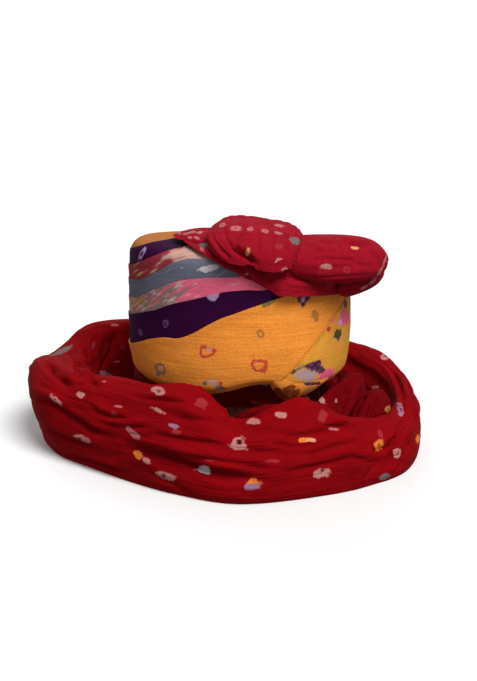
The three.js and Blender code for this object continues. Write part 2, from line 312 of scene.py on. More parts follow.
@dataclass
class ClothGrid:
    """A sheet of points in millimetres: rows go across the cloth and columns along it."""

    places: np.ndarray
    closed_along: bool = False
    closed_across: bool = False

    def normals(self) -> np.ndarray:
        """The outward normal at each point."""
        steps = []
        for axis, closed in ((1, self.closed_along), (0, self.closed_across)):
            if closed:
                body = np.delete(self.places, -1, axis)
                slope = np.roll(body, -1, axis) - np.roll(body, 1, axis)
                slope = np.concatenate([slope, np.take(slope, [0], axis)], axis)
            else:
                slope = np.gradient(self.places, axis=axis)
            steps.append(slope)
        normal = np.cross(steps[0], steps[1])
        length = np.linalg.norm(normal, axis=-1, keepdims=True)
        return normal / np.maximum(length, TINY)

    def push(self, amount: np.ndarray) -> None:
        """Moves every point along its normal, in millimetres."""
        self.places = self.places + self.normals() * amount[..., None]

    def tree(self) -> BVHTree:
        """The sheet as a tree that rays can be cast at."""
        rows, cols = self.places.shape[:2]
        at = np.arange(rows * cols).reshape(rows, cols)
        quads = np.stack([at[:-1, :-1], at[:-1, 1:], at[1:, 1:], at[1:, :-1]], -1).reshape(-1, 4)
        return BVHTree.FromPolygons(self.places.reshape(-1, 3).tolist(), quads.tolist())

    def crease(self, lens: PhotoLens, creases: list[Crease]) -> None:
        """Folds the sheet along lines seen in the photo.

        Args:
            lens: the camera that the lines are seen through.
            creases: the lines.
        """
        tree = self.tree()
        eye = Vector(lens.eye())
        right, up, _ = lens.axes()
        moved = np.zeros(self.places.shape[:2])
        flat = self.places.reshape(-1, 3)
        for fold in creases:
            hits = [tree.ray_cast(eye, Vector(lens.ray(x, y)))[0] for x, y in fold.pixels()]
            found = np.array([tuple(hit) for hit in hits if hit is not None])
            if len(found) < 2:
                continue
            reach = CREASE_REACH["widths"] * fold.width + CREASE_REACH["more"]
            near = ((flat > found.min(0) - reach) & (flat < found.max(0) + reach)).all(1).nonzero()[0]
            away = np.linalg.norm(flat[near][:, None] - found[None], axis=2)
            closest = away.argmin(1)
            gap = away.min(1)
            fading = max(1, CREASE_END["share"] * len(found))
            ends = np.minimum(closest, len(found) - 1 - closest) / fading
            strength = np.clip(ends, CREASE_END["strength"], 1)
            side = np.sign((flat[near] - found[closest]) @ (right * fold.towards[0] + up * fold.towards[1]))
            valley = -fold.depth * np.exp(-((gap / fold.width) ** 2))
            past = (gap - CREASE_LIP["middle"] * fold.width) / (CREASE_LIP["breadth"] * fold.width)
            lip = fold.lip * np.exp(-(past ** 2)) * (side > 0)
            moved.reshape(-1)[near] += strength * (valley + lip)
        self.push(moved)

    def settle(self, anchor: np.ndarray, trees: list[BVHTree]) -> None:
        """Pulls what lies inside other pieces back towards a point that lies outside them.

        Args:
            anchor: the point, inside this sheet's own form.
            trees: the other pieces.
        """
        start = Vector(anchor)
        flat = self.places.reshape(-1, 3).copy()
        for i, place in enumerate(flat):
            way = Vector(place) - start
            reach = way.length
            for tree in trees:
                hit = tree.ray_cast(start, way, reach + GAP)
                if hit[0] is not None:
                    reach = min(reach, hit[3] - GAP)
            flat[i] = start + way.normalized() * reach
        self.places = flat.reshape(self.places.shape)

    def piece(self, name: str, size: tuple[float, float]) -> bpy.types.Object:
        """Makes the sheet a mesh object with a UV map in metres.

        Args:
            name: the object's name.
            size: the cloth's length and width in millimetres.

        Returns:
            The new object.
        """
        rows, cols = self.places.shape[:2]
        deselect()
        bpy.ops.mesh.primitive_grid_add(x_subdivisions=cols - 1, y_subdivisions=rows - 1, calc_uvs=True)
        piece = bpy.context.object
        piece.name = piece.data.name = name + "_cloth"
        piece.data.vertices.foreach_set("co", (self.places * MM).astype(np.float32).ravel())
        layer = piece.data.uv_layers.active
        uv = np.zeros(len(layer.data) * 2, np.float32)
        layer.data.foreach_get("uv", uv)
        uv = uv.reshape(-1, 2) * np.array(size, np.float32) * MM
        layer.data.foreach_set("uv", uv.ravel())
        bpy.ops.object.mode_set(mode="EDIT")
        bpy.ops.mesh.select_all(action="SELECT")
        bpy.ops.mesh.remove_doubles(threshold=MERGE_WITHIN)
        bpy.ops.object.mode_set(mode="OBJECT")
        return piece


def deselect() -> None:
    """Leaves nothing selected."""
    bpy.ops.object.select_all(action="DESELECT")


def take(piece: bpy.types.Object) -> None:
    """Makes a piece the only selected and active one."""
    deselect()
    piece.select_set(True)
    bpy.context.view_layer.objects.active = piece


def cut(piece: bpy.types.Object, normal: np.ndarray, through: np.ndarray) -> None:
    """Keeps what lies on a plane's positive side.

    Args:
        piece: the mesh object to cut.
        normal: the plane's normal.
        through: a point of the plane, in millimetres.
    """
    take(piece)
    bpy.ops.object.mode_set(mode="EDIT")
    bpy.ops.mesh.select_all(action="SELECT")
    point = tuple(np.asarray(through) * MM)
    bpy.ops.mesh.bisect(plane_co=point, plane_no=tuple(normal), clear_inner=True, clear_outer=False)
    bpy.ops.object.mode_set(mode="OBJECT")


def vertices(piece: bpy.types.Object) -> np.ndarray:
    """A piece's vertices in millimetres."""
    co = np.zeros(len(piece.data.vertices) * 3, np.float32)
    piece.data.vertices.foreach_get("co", co)
    return co.reshape(-1, 3).astype(float) / MM


def set_vertices(piece: bpy.types.Object, places: np.ndarray) -> None:
    """Moves a piece's vertices to places in millimetres."""
    piece.data.vertices.foreach_set("co", (places * MM).astype(np.float32).ravel())
    piece.data.update()


def normals_of(piece: bpy.types.Object) -> np.ndarray:
    """A piece's vertex normals."""
    way = np.zeros(len(piece.data.vertices) * 3, np.float32)
    piece.data.vertex_normals.foreach_get("vector", way)
    return way.reshape(-1, 3).astype(float)


def thicken(piece: bpy.types.Object, thickness: float) -> None:
    """Gives a sheet its thickness, inwards, with closed edges.

    Args:
        piece: the sheet.
        thickness: in millimetres.
    """
    take(piece)
    wall = piece.modifiers.new("cloth", "SOLIDIFY")
    wall.thickness = thickness * MM
    wall.offset = -1
    wall.use_even_offset = True
    bpy.ops.object.modifier_apply(modifier=wall.name)


def smooth(piece: bpy.types.Object) -> None:
    """Shades a piece smooth, with its cut edges kept sharp."""
    take(piece)
    bpy.ops.object.shade_smooth_by_angle(angle=math.radians(SHARP_FROM))


@dataclass(frozen=True)
class Waver:
    """How a cut edge wanders: its waves, how far from the edge they fade, and whether they run level."""

    waves: tuple[Waves, ...]
    fade: float
    level: bool = False

    def apply(self, piece: bpy.types.Object, normal: np.ndarray, through: np.ndarray) -> None:
        """Makes the edge of a cut piece wander, within its skin.

        Args:
            piece: the cut piece.
            normal: the normal of the edge's plane.
            through: a point of that plane.
        """
        places = vertices(piece)
        away = np.abs((places - through) @ normal)
        along = places * np.array([1, 1, 0]) if self.level else places
        shift = sum(wave.at(along) for wave in self.waves)
        skin = normals_of(piece)
        way = normal - skin * (skin @ normal)[:, None]
        set_vertices(piece, places + way * (shift * np.exp(-((away / self.fade) ** 2)))[:, None])


@dataclass
class CrownForm:
    """The crown's outer shape about its own axis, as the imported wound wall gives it, in millimetres."""

    axis: np.ndarray
    half_width: float
    half_depth: float
    rim: float
    profile: list[tuple[float, float]] = field(default_factory=lambda: list(CROWN_PROFILE))
    fine_steps: int = 800

    @classmethod
    def from_frame(cls) -> "CrownForm":
        """Reads the axis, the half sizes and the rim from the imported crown_base node."""
        low, high = (np.array(corner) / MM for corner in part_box("crown_base"))
        half = (high - low) / 2
        return cls((low[:2] + high[:2]) / 2, half[0] + WRAP_INSET, half[1] + WRAP_INSET, low[2])

    def rolled(self) -> "CrownForm":
        """The same crown with its cloth rolled in under the rim."""
        return CrownForm(self.axis, self.half_width, self.half_depth, self.rim, RIM_ROLL + self.profile[1:])

    def section(self, rise: np.ndarray) -> tuple[np.ndarray, np.ndarray]:
        """The profile's points and outward normals.

        Args:
            rise: places along the profile, from 0 at the rim to 1 at the axis.

        Returns:
            Radius and height for each place, and the normals in the same plane.
        """
        scale = np.array([self.half_width, 1.0])
        points = open_spline(self.profile, rise) * scale
        points[:, 1] += self.rim
        step = 1e-4
        slope = (open_spline(self.profile, rise + step) - open_spline(self.profile, rise - step)) * scale
        normal = np.stack([slope[:, 1], -slope[:, 0]], 1)
        return points, normal / np.maximum(np.linalg.norm(normal, axis=1, keepdims=True), TINY)

    def even_rise(self, count: int) -> np.ndarray:
        """Places along the profile at even distances."""
        fine = np.linspace(0, 1, self.fine_steps)
        points = self.section(fine)[0]
        lengths = run_lengths(points)
        return np.interp(np.linspace(0, lengths[-1], count), lengths, fine)

    def lift(self, turn: np.ndarray, height: np.ndarray) -> np.ndarray:
        """How far the front of the rim is lifted."""
        away = np.mod(turn - math.radians(RIM_LIFT["at"]) + math.pi, TURN) - math.pi
        fade = np.clip(1 - (height - self.rim) / RIM_LIFT["fades_above"], 0, 1)
        return RIM_LIFT["height"] * np.exp(-((away / math.radians(RIM_LIFT["span"])) ** 2)) * fade

    def fall(self, x: np.ndarray, y: np.ndarray, height: np.ndarray) -> np.ndarray:
        """How far the top falls to the right and to the back, from the crown's axis."""
        share = ramp(height, self.rim + TOP_FALL["from_rise"], self.rim + TOP_FALL["to_rise"])
        return (TOP_FALL["right"] * x + TOP_FALL["back"] * y) * share

    def grid(self, around: int, up: int, proud: float) -> np.ndarray:
        """The crown's skin as rows from the rim to the axis.

        Args:
            around: steps about the axis.
            up: steps along the profile.
            proud: how far outside the profile it lies.

        Returns:
            Places in millimetres, a row for each step up and a column for each step round.
        """
        points, normal = self.section(self.even_rise(up + 1))
        points = points + normal * proud
        points[-1, 0] = 0
        turn = np.linspace(0, TURN, around + 1) + SEAM_TURN
        radius, height = points[:, :1], points[:, 1:]
        x = radius * np.cos(turn)
        y = radius * np.sin(turn) * self.half_depth / self.half_width
        z = height + self.lift(turn, height) - self.fall(x, y, height + 0 * x)
        return np.stack([x + self.axis[0], y + self.axis[1], z], -1)


@dataclass(frozen=True)
class Wrap:
    """One lapped wrap of the crown: the height of its upper edge at the axis, its slant to the right and to
    the back, how proud it lies, how far its upper edge lifts, its flat size in metres, and the bends of
    that edge, as turns in degrees and rises."""

    name: str
    top: float
    slant_x: float
    slant_y: float
    proud: float
    edge: float
    flat: tuple[float, float]
    bends: tuple[tuple[float, float], ...] = ()

    def bend(self, places: np.ndarray, axis: np.ndarray) -> np.ndarray:
        """How far its upper edge bends up from its plane, at the turns of some places about the axis."""
        turn = np.degrees(np.arctan2(places[..., 1] - axis[1], places[..., 0] - axis[0])) % 360
        rows = np.array(((BENDS_FROM, 0), *self.bends, (BENDS_TO, 0)), float)
        eased = [np.interp(turn + off, rows[:, 0], rows[:, 1]) for off in BEND_EASING]
        return sum(eased) / len(eased)

    def plane(self, axis: np.ndarray, shift: float = 0.0) -> tuple[np.ndarray, np.ndarray]:
        """The upward plane of its upper edge, moved up by shift, and a point of it."""
        normal = np.array([-self.slant_x, -self.slant_y, 1.0])
        normal /= np.linalg.norm(normal)
        return normal, np.array([*axis, self.top]) + normal * shift


# The turns that the edges bend between, and the turns over which a bend is eased
BENDS_FROM, BENDS_TO = 192, 312
BEND_EASING = (-4, -2, 0, 2, 4)
# Wraps from the rim up
WRAPS = [
    Wrap("wrap_front", 145.5, 0.38, -0.15, 1.0, 1.0, (0.1, 0.4),
         ((207, 1.5), (219, 3.4), (228, 2.4), (238, -4.4), (248, -3), (257, 1.8), (267, 1.8), (279, 0))),
    Wrap("wrap_purple_low", 166, 0.295, -0.17, 0.2, 0.8, (0.035, 0.55),
         ((207, 0.5), (222, 1.8), (234, 3.6), (250, 2.8), (263, 2.2), (269, -0.5),
          (276, -4.5), (281, -9), (290, -9))),
    Wrap("wrap_pink_low", 181.5, 0.28, -0.19, 0.2, 0.8, (0.03, 0.55),
         ((206, -2.6), (215, 0.9), (223, 3.8), (230, 5.6), (237, 6.2), (245, 5), (255, 1.4),
          (268, -5), (275, -7))),
    Wrap("wrap_grey", 200, 0.285, -0.21, 0.2, 0.8, (0.035, 0.66),
         ((207, -3.8), (216, -2.8), (223, 0), (228, 2.8), (235, 4.5), (241, 4.7), (248, 2),
          (255, -4), (262, -6))),
    Wrap("wrap_pink_high", 210.5, 0.26, -0.22, 0.2, 0.8, (0.035, 0.5),
         ((206, -0.5), (216, 2.2), (224, 4.5), (231, 3.8), (239, 1.2), (245, -2.6), (252, -4))),
    Wrap("wrap_purple_high", 225, 0.25, -0.23, 0.2, 0.8, (0.04, 0.42),
         ((206, 0), (212, 2.4), (222, 4.2), (230, 3), (235, -1.3), (245, -3))),
    Wrap("wrap_top", 400, 0, 0, 0.2, 0, (0.09, 0.12)),
]
# The plane in which the golden wrap crosses the front one, as its normal and a point from the loop's
# middle; the distances from it over which the front wrap dips, and how deep; and how far the golden edge is
# pressed in
SIDE_CROSSING = (np.array([0.726, 0.015, -0.687]), np.array([116.0, -34.0, 156.0]))
CROSSING_DIP = {"from": -3.0, "to": 1.0, "depth": 1.9}
CROSSING_PRESS = {"depth": 0.5, "fade": 9}
# Flat sizes in metres of the golden wrap and the draped layer
SIDE_FLAT = (0.1, 0.2)
DRAPE_FLAT = (0.16, 0.19)
# The turns of cloth inside the wall: their pitch, their drift to the right, and their depth in the radius
WALL_TURNS = {"pitch": 11, "drift": 0.02, "depth": 0.008}
# A wrap's strained threads, drawn out along it, its slack, and how its cut edge wanders
STRAIN, STRAIN_DRAW = Waves(0.22, 9, 40), np.array([0.35, 0.35, 1.6])
SLACK = Waves(0.35, 34, 60)
WRAP_WAVER = Waver((Waves(1.5, 30, 90), Waves(0.6, 12, 91)), 9, level=True)
# The tuck: the turns it hangs between, how far it hangs along its width, how far above the rim it starts,
# how far out it lies as a fraction of the half width, how far it curls in, its folds with their twist and
# depth, its flat size in metres, its steps across and down, and its size in millimetres for the weave
TUCK = {
    "from": 287, "to": 323, "along": (0, 0.12, 0.3, 0.55, 1), "hang": (1, 11, 15, 9, 1),
    "above": 9, "reach": 0.975, "curl": 0.085, "folds": 2.5, "twist": 2.0, "fold_depth": 0.006,
    "flat": (0.024, 0.058), "steps": (60, 40), "size": (60, 26),
}


@dataclass
class Crown:
    """The wound crown: its wall, the lapped wraps over it and the end tucked under the rim."""

    form: CrownForm
    steps: tuple[int, int] = (320, 110)
    size: tuple[float, float] = (690, 270)
    wall_steps: tuple[int, int] = (160, 40)
    wall_size: tuple[float, float] = (640, 330)
    wall_inset: float = 1.6
    wall_lift: float = 1.8
    cloth: float = 1.2
    overlap: float = 5.0
    covered_depth: float = 0.9
    edge_fade: float = 7.0
    pieces: dict[str, bpy.types.Object] = field(default_factory=dict)

    def build(self) -> None:
        """Makes the wall, every wrap and the tuck."""
        self.wall()
        for i, wrap in enumerate(WRAPS):
            self.wrap(i, wrap)
        self.tuck()

    def wall(self) -> None:
        """The wound wall, closed, with the turns of cloth showing inside it."""
        outer = self.form.grid(*self.wall_steps, -self.wall_inset)
        inner = self.form.grid(*self.wall_steps, -WRAP_INSET - WOUND_WALL)
        drift = WALL_TURNS["drift"] * inner[..., 0]
        turns = np.sin((inner[..., 2] - self.form.rim) / WALL_TURNS["pitch"] * TURN + drift)
        inner[..., :2] += (inner[..., :2] - self.form.axis) * (WALL_TURNS["depth"] * turns[..., None])
        lowest = self.form.rim + self.wall_lift
        outer[..., 2] = np.maximum(outer[..., 2], lowest)
        inner[..., 2] = np.maximum(inner[..., 2], lowest)
        places = np.concatenate([inner[::-1], outer], 0)
        sheet = ClothGrid(places, closed_along=True)
        self.pieces["wound_wall"] = sheet.piece("wound_wall", self.wall_size)

    def wrap(self, i: int, wrap: Wrap) -> None:
        """One wrap: the crown's skin between two slanting edges, lifted along its upper edge.

        Args:
            i: its place in the table.
            wrap: its row.
        """
        form = self.form.rolled()
        places = form.grid(*self.steps, wrap.proud)
        sheet = ClothGrid(places, closed_along=True)
        normal, through = wrap.plane(form.axis)
        bend = wrap.bend(places, form.axis)
        below = bend * normal[2] - (places - through) @ normal
        strain = STRAIN.at(places * STRAIN_DRAW, i)
        slack = SLACK.at(places, i) * (i > 0)
        lift = wrap.edge * np.exp(-(np.maximum(below, 0) / self.edge_fade) ** 2)
        sheet.push(lift + strain + slack - self.sunk(i, places))
        piece = sheet.piece(wrap.name, self.size)
        if i > 0:
            self.straighten(piece, WRAPS[i - 1], -1)
            cut(piece, *WRAPS[i - 1].plane(form.axis, -self.overlap))
            self.straighten(piece, WRAPS[i - 1], 1)
        if i < len(WRAPS) - 1:
            self.straighten(piece, wrap, -1)
            cut(piece, -normal, through)
            WRAP_WAVER.apply(piece, normal, through)
            self.straighten(piece, wrap, 1)
        made_pieces = [piece, self.split(piece)] if i == 0 else [piece]
        for made in made_pieces:
            thicken(made, self.cloth)
            smooth(made)
        self.pieces[wrap.name] = piece

    def sunk(self, i: int, places: np.ndarray) -> np.ndarray:
        """How deep the part of a wrap that the wrap below it covers lies, at some places."""
        if i == 0:
            return np.zeros(places.shape[:2])
        lower = WRAPS[i - 1]
        normal, through = lower.plane(self.form.axis)
        covered = lower.bend(places, self.form.axis) * normal[2] - (places - through) @ normal
        return self.covered_depth * ramp(covered, 0, self.overlap)

    def straighten(self, piece: bpy.types.Object, wrap: Wrap, way: int) -> None:
        """Moves a piece up or down so that a wrap's bent edge lies in its plane, or back again.

        Args:
            piece: the piece.
            wrap: the wrap whose edge it is.
            way: -1 to lay the edge in its plane, 1 to bend it again.
        """
        places = vertices(piece)
        places[:, 2] += way * wrap.bend(places, self.form.axis)
        set_vertices(piece, places)

    def split(self, piece: bpy.types.Object) -> bpy.types.Object:
        """Parts the front wrap from the golden wrap that crosses it at the right.

        Args:
            piece: the front wrap.

        Returns:
            The golden wrap.
        """
        normal, through = SIDE_CROSSING[0], SIDE_CROSSING[1] - np.array([*AXIS_FROM_LOOP, 0])
        through = through + np.array([*self.form.axis, 0])
        take(piece)
        bpy.ops.object.duplicate()
        side = bpy.context.object
        side.name = side.data.name = "wrap_side_cloth"
        cut(piece, -normal, through + normal * self.overlap)
        cut(side, normal, through)
        places = vertices(piece)
        under = ramp((places - through) @ normal, CROSSING_DIP["from"], CROSSING_DIP["to"])
        set_vertices(piece, places - normals_of(piece) * (CROSSING_DIP["depth"] * under)[:, None])
        WRAP_WAVER.apply(side, normal, through)
        places = vertices(side)
        edge = np.exp(-(((places - through) @ normal) / CROSSING_PRESS["fade"]) ** 2)
        set_vertices(side, places - normals_of(side) * (CROSSING_PRESS["depth"] * edge)[:, None])
        self.pieces["wrap_side"] = side
        return side

    def tuck(self) -> None:
        """The end of the yellow cloth that hangs from the lifted rim, widest at its tip."""
        across, deep = TUCK["steps"]
        turn = np.radians(np.linspace(TUCK["from"], TUCK["to"], across))[None]
        share = (np.degrees(turn) - TUCK["from"]) / (TUCK["to"] - TUCK["from"])
        hang = np.interp(share, TUCK["along"], TUCK["hang"])
        down = np.linspace(0, 1, deep)[::-1, None]
        fold = np.sin(share * TURN * TUCK["folds"] + TUCK["twist"] * down)
        reach = TUCK["reach"] - TUCK["curl"] * down ** 2 + TUCK["fold_depth"] * fold * down
        rim = self.form.rim + self.form.lift(turn, np.full(turn.shape, self.form.rim))
        x = self.form.half_width * reach * np.cos(turn)
        y = self.form.half_depth * reach * np.sin(turn)
        z = rim + TUCK["above"] - down * (TUCK["above"] + hang)
        places = np.stack([x + self.form.axis[0], y + self.form.axis[1], z + 0 * x], -1)
        piece = ClothGrid(places).piece("rim_tuck", TUCK["size"])
        thicken(piece, self.cloth)
        smooth(piece)
        self.pieces["rim_tuck"] = piece


def home(place: tuple[float, float, float], axis: np.ndarray) -> np.ndarray:
    """A table place, measured from the loop's middle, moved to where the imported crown's axis stands."""
    return np.array(place) + np.array([*axis, 0]) - np.array([*AXIS_FROM_LOOP, 0])


# The gathers of a lobe: how they drift and quiver and how uneven they are; how far they drift in radians,
# the level that they rise and fall from, their mean strength, and how they fade to the poles
LOBE_DRIFT, LOBE_QUIVER, LOBE_PATCHES = Waves(1.0, 30, 0), Waves(0.5, 13, 7), Waves(0.5, 40, 11)
LOBE_GATHERS = {"drift": 1.3, "level": 0.6, "mean": 0.5, "pole_fade": 0.7}


@dataclass(frozen=True)
class Lobe:
    """An egg-shaped fold of cloth: its middle and a point of it that lies clear, both from the loop's own
    middle, its half sizes, lean and turn, the way its poles lie, its gathers, how square it is, and how far
    its left side leans to the right for each millimetre down."""

    name: str
    centre: tuple[float, float, float]
    anchor: tuple[float, float, float]
    half: tuple[float, float, float]
    lean: float
    turn: float
    poles: str
    gathers: int
    depth: float
    square: float = 1.0
    shear: float = 0.0

    def sheet(self, along: int, across: int, axis: np.ndarray) -> ClothGrid:
        """The lobe's skin, gathered from pole to pole.

        Args:
            along: steps round it.
            across: steps from pole to pole.
            axis: the crown's axis, from which the table's places are set.

        Returns:
            The skin as a sheet closed along its columns.
        """
        longitude = np.linspace(0, TURN, along + 1)[None]
        latitude = np.linspace(-math.pi / 2, math.pi / 2, across + 1)[:, None]
        span = np.cos(latitude)
        a, b, c = span * np.cos(longitude), np.sin(latitude) + 0 * longitude, -span * np.sin(longitude)
        unit = np.stack([a, b, c] if self.poles == "y" else [-b, a, c], -1)
        places = np.sign(unit) * np.abs(unit) ** self.square * np.array(self.half)
        left = np.clip(0.5 - 0.5 * unit[..., 0], 0, 1)
        places[..., 0] -= self.shear * places[..., 2] * left
        drift = LOBE_DRIFT.at(places, len(self.name)) + LOBE_QUIVER.at(places)
        phase = self.gathers * longitude / 2 + LOBE_GATHERS["drift"] * drift
        ridge = np.abs(np.sin(phase)) - LOBE_GATHERS["level"]
        uneven = LOBE_GATHERS["mean"] + LOBE_PATCHES.at(places)
        lean, turn = math.radians(self.lean), math.radians(self.turn)
        turned = np.array(Matrix.Rotation(turn, 3, "Z") @ Matrix.Rotation(lean, 3, "Y"))
        sheet = ClothGrid(places @ turned.T, closed_along=True)
        sheet.push(self.depth * ridge * uneven * span ** LOBE_GATHERS["pole_fade"])
        sheet.places = sheet.places + home(self.centre, axis)
        return sheet


LOBES = [
    Lobe("bundle_mid", (32.5, -46, 208), (33, -46, 227), (41.5, 69, 25), 5, -8, "y", 26, 1.6, 0.6, 0.6),
    Lobe("bundle_flap", (-24, -18, 213), (-26, -18, 219), (33, 42, 9), -4, -34, "y", 16, 1.0, 0.9),
    Lobe("bundle_end", (97, -54, 203), (110, -60, 208), (55, 46, 19), 0.5, 8, "x", 18, 1.5, 0.78),
]
HEM = Lobe("bundle_end", (112, -27, 183.5), (128, -27, 191), (41, 46, 20.5), -12, 6, "x", 14, 1.2, 0.8)
# The planes that the draped layer is cut along, as normals and points from the loop's middle
DRAPE_EDGES = [
    (np.array([0.462, 0.137, 0.876]), np.array([-54.0, 9.0, 218.0])),
    (np.array([0.1, 0.12, 1.0]), np.array([60.0, -95.0, 178.0])),
    (np.array([0.2, -1.0, 0.0]), np.array([-56.0, 18.0, 205.0])),
]
BUNDLE_FOLDS = {
    "bundle_flap": [
        Crease([(176, 236), (190, 240), (204, 247)], 1.6, 1.6, 0.8),
    ],
    "bundle_mid": [
        Crease([(212, 224), (213, 238), (221, 250), (232, 260)], 2.6, 1.6, 2.0, (-0.7, -0.7)),
        Crease([(244, 221), (245, 238), (244, 252)], 2.4, 1.4, 1.0, (1, 0)),
        Crease([(231, 247), (237, 251), (244, 255), (256, 264)], 6.5, 2.6, 4.0, (0.7, 0.7)),
        Crease([(224, 222), (226, 238), (234, 250)], 1.6, 1.6, 0.8, (1, 0)),
        Crease([(236, 221), (238, 236), (240, 246)], 1.2, 1.4),
        Crease([(258, 222), (260, 238), (258, 256)], 1.3, 1.6, 0.8, (1, 0)),
        Crease([(271, 223), (274, 240), (272, 258)], 1.4, 1.6, 0.8, (1, 0)),
        Crease([(283, 227), (289, 240), (289, 254)], 1.6, 1.8, 0.8, (1, 0)),
        Crease([(216, 233), (240, 235), (266, 236), (288, 238)], 1.2, 1.6, 0.8),
    ],
    "bundle_end": [
        Crease([(346, 238), (352, 244), (362, 245), (371, 242)], 4.0, 1.8, 2.4),
        Crease([(308, 246), (322, 252), (342, 251)], 1.8, 3.0, 0.8),
        Crease([(306, 262), (324, 258), (346, 260), (366, 266)], 1.4, 2.4, 0.8),
        Crease([(366, 248), (376, 257), (379, 268)], 2.2, 2.4, 0.8, (1, 0)),
        Crease([(311, 240), (330, 243), (346, 241)], 1.3, 2.0, 0.8),
        Crease([(379, 252), (382, 255), (385, 258), (386, 262)], -3.6, 5.0),
    ],
}
HEM_FOLDS = [
    Crease([(384, 260), (377, 273), (366, 283), (352, 290)], 1.6, 1.6, 1.2, (0.7, -0.7)),
    Crease([(330, 284), (350, 284), (364, 276)], 1.6, 2.0, 0.8),
]
DRAPE_FOLDS = [
    Crease([(211, 251), (232, 263), (244, 268), (249, 275), (254, 283), (271, 291)],
           3.2, 1.7, 2.6, (0.7, 0.7)),
    Crease([(176, 237), (196, 250), (216, 262), (238, 275)], 1.4, 1.6, 0.8, (0.6, 0.8)),
    Crease([(244, 264), (256, 267), (265, 273), (271, 279), (271, 290)], 3.2, 1.7, 2.4, (0.8, 0.6)),
    Crease([(262, 271), (278, 275), (300, 279), (318, 284)], 1.8, 2.2, 1.4),
    Crease([(275, 284), (292, 288), (318, 290), (338, 289)], 1.6, 2.0, 1.2),
    Crease([(280, 291), (300, 293), (322, 294), (340, 293)], 1.2, 1.4, 0.8),
]
# The part of the draped layer, right of the crown's axis, that lies in a thicker fold: where it starts and
# ends, over what distances, and how far it stands out
THICK_FOLD = {"from": 31, "rise": 5, "to": 104, "fall": 12, "below": 187, "thins_by": 9, "out": 6.0}
# The draped layer's folds and ripples: how they drift, where folds are deep, and their depths and pitches
FOLD_DRIFT, RIPPLE_DRIFT, FOLD_PATCHES = Waves(6, 38, 22), Waves(10, 45, 21), Waves(1, 50, 23)
DRAPE_WAVES = {
    "fold": 1.3, "least": 0.4, "mean": 0.5, "fold_pitch": 9.0,
    "ripple": 0.3, "ripple_pitch": 5.0,
}
DRAPE_WAVER = Waver((Waves(2.4, 28, 31), Waves(1.2, 12, 32)), 10)
LOBE_SLACK = Waves(1.6, 24, 15)


@dataclass
class Bundle:
    """The red cloth folded over the crown's top: a draped layer, a pointed flap and two puffed lobes."""

    form: CrownForm
    lens: PhotoLens
    steps: tuple[int, int] = (300, 140)
    size: tuple[float, float] = (690, 240)
    lobe_steps: tuple[int, int] = (220, 120)
    lobe_size: tuple[float, float] = (260, 150)
    proud: float = 5.0
    cloth: float = 1.4
    skin: BVHTree | None = None
    pieces: dict[str, bpy.types.Object] = field(default_factory=dict)

    def build(self) -> None:
        """Makes the draped layer and the three lobes."""
        self.drape()
        self.lobes()

    def drape(self) -> None:
        """The layer that drapes over the top, with its slanting front edge and soft folds."""
        places = self.form.grid(*self.steps, self.proud)
        sheet = ClothGrid(places, closed_along=True)
        normal = DRAPE_EDGES[0][0]
        slope = places @ np.array([normal[2], 0.0, -normal[0]]) + RIPPLE_DRIFT.at(places)
        fold = np.abs(np.sin(((places @ normal) + FOLD_DRIFT.at(places)) / DRAPE_WAVES["fold_pitch"]))
        patches = np.clip(FOLD_PATCHES.at(places) + DRAPE_WAVES["mean"], 0, 1)
        depth = DRAPE_WAVES["fold"] * (DRAPE_WAVES["least"] + (1 - DRAPE_WAVES["least"]) * patches)
        ripple = DRAPE_WAVES["ripple"] * np.sin(slope / DRAPE_WAVES["ripple_pitch"])
        right = places[..., 0] - self.form.axis[0]
        thick = ramp(right, THICK_FOLD["from"], THICK_FOLD["from"] + THICK_FOLD["rise"])
        thick *= 1 - ramp(right, THICK_FOLD["to"] - THICK_FOLD["fall"], THICK_FOLD["to"])
        thick *= places[..., 1] < self.form.axis[1]
        thick *= 1 - ramp(places[..., 2], THICK_FOLD["below"], THICK_FOLD["below"] + THICK_FOLD["thins_by"])
        sheet.push(depth * fold + ripple + THICK_FOLD["out"] * thick)
        sheet.crease(self.lens, DRAPE_FOLDS)
        self.skin = sheet.tree()
        piece = sheet.piece("bundle_under", self.size)
        for normal, place in DRAPE_EDGES:
            through = home(place, self.form.axis)
            cut(piece, normal, through)
            DRAPE_WAVER.apply(piece, normal / np.linalg.norm(normal), through)
        thicken(piece, self.cloth)
        smooth(piece)
        self.pieces["bundle_under"] = piece

    def lobes(self) -> None:
        """The lobes: the middle one lies over its neighbours, and all of them lie on the draped layer."""
        trees = [self.skin]
        for row in LOBES:
            sheet = self.lobe(row, BUNDLE_FOLDS[row.name], trees)
            piece = sheet.piece(row.name, self.lobe_size)
            smooth(piece)
            self.pieces[row.name] = piece
            if row is LOBES[0]:
                trees.append(sheet.tree())
        hem = self.lobe(HEM, HEM_FOLDS, trees).piece("bundle_hem", self.lobe_size)
        smooth(hem)
        take(self.pieces[HEM.name])
        hem.select_set(True)
        bpy.ops.object.join()

    def lobe(self, row: Lobe, folds: list[Crease], trees: list[BVHTree]) -> ClothGrid:
        """One puffed fold, laid on what lies under it.

        Args:
            row: its form.
            folds: its creases.
            trees: the pieces that it lies on.

        Returns:
            Its skin.
        """
        sheet = row.sheet(*self.lobe_steps, self.form.axis)
        sheet.push(LOBE_SLACK.at(sheet.places, len(row.name)))
        sheet.crease(self.lens, folds)
        sheet.settle(home(row.anchor, self.form.axis), trees)
        return sheet


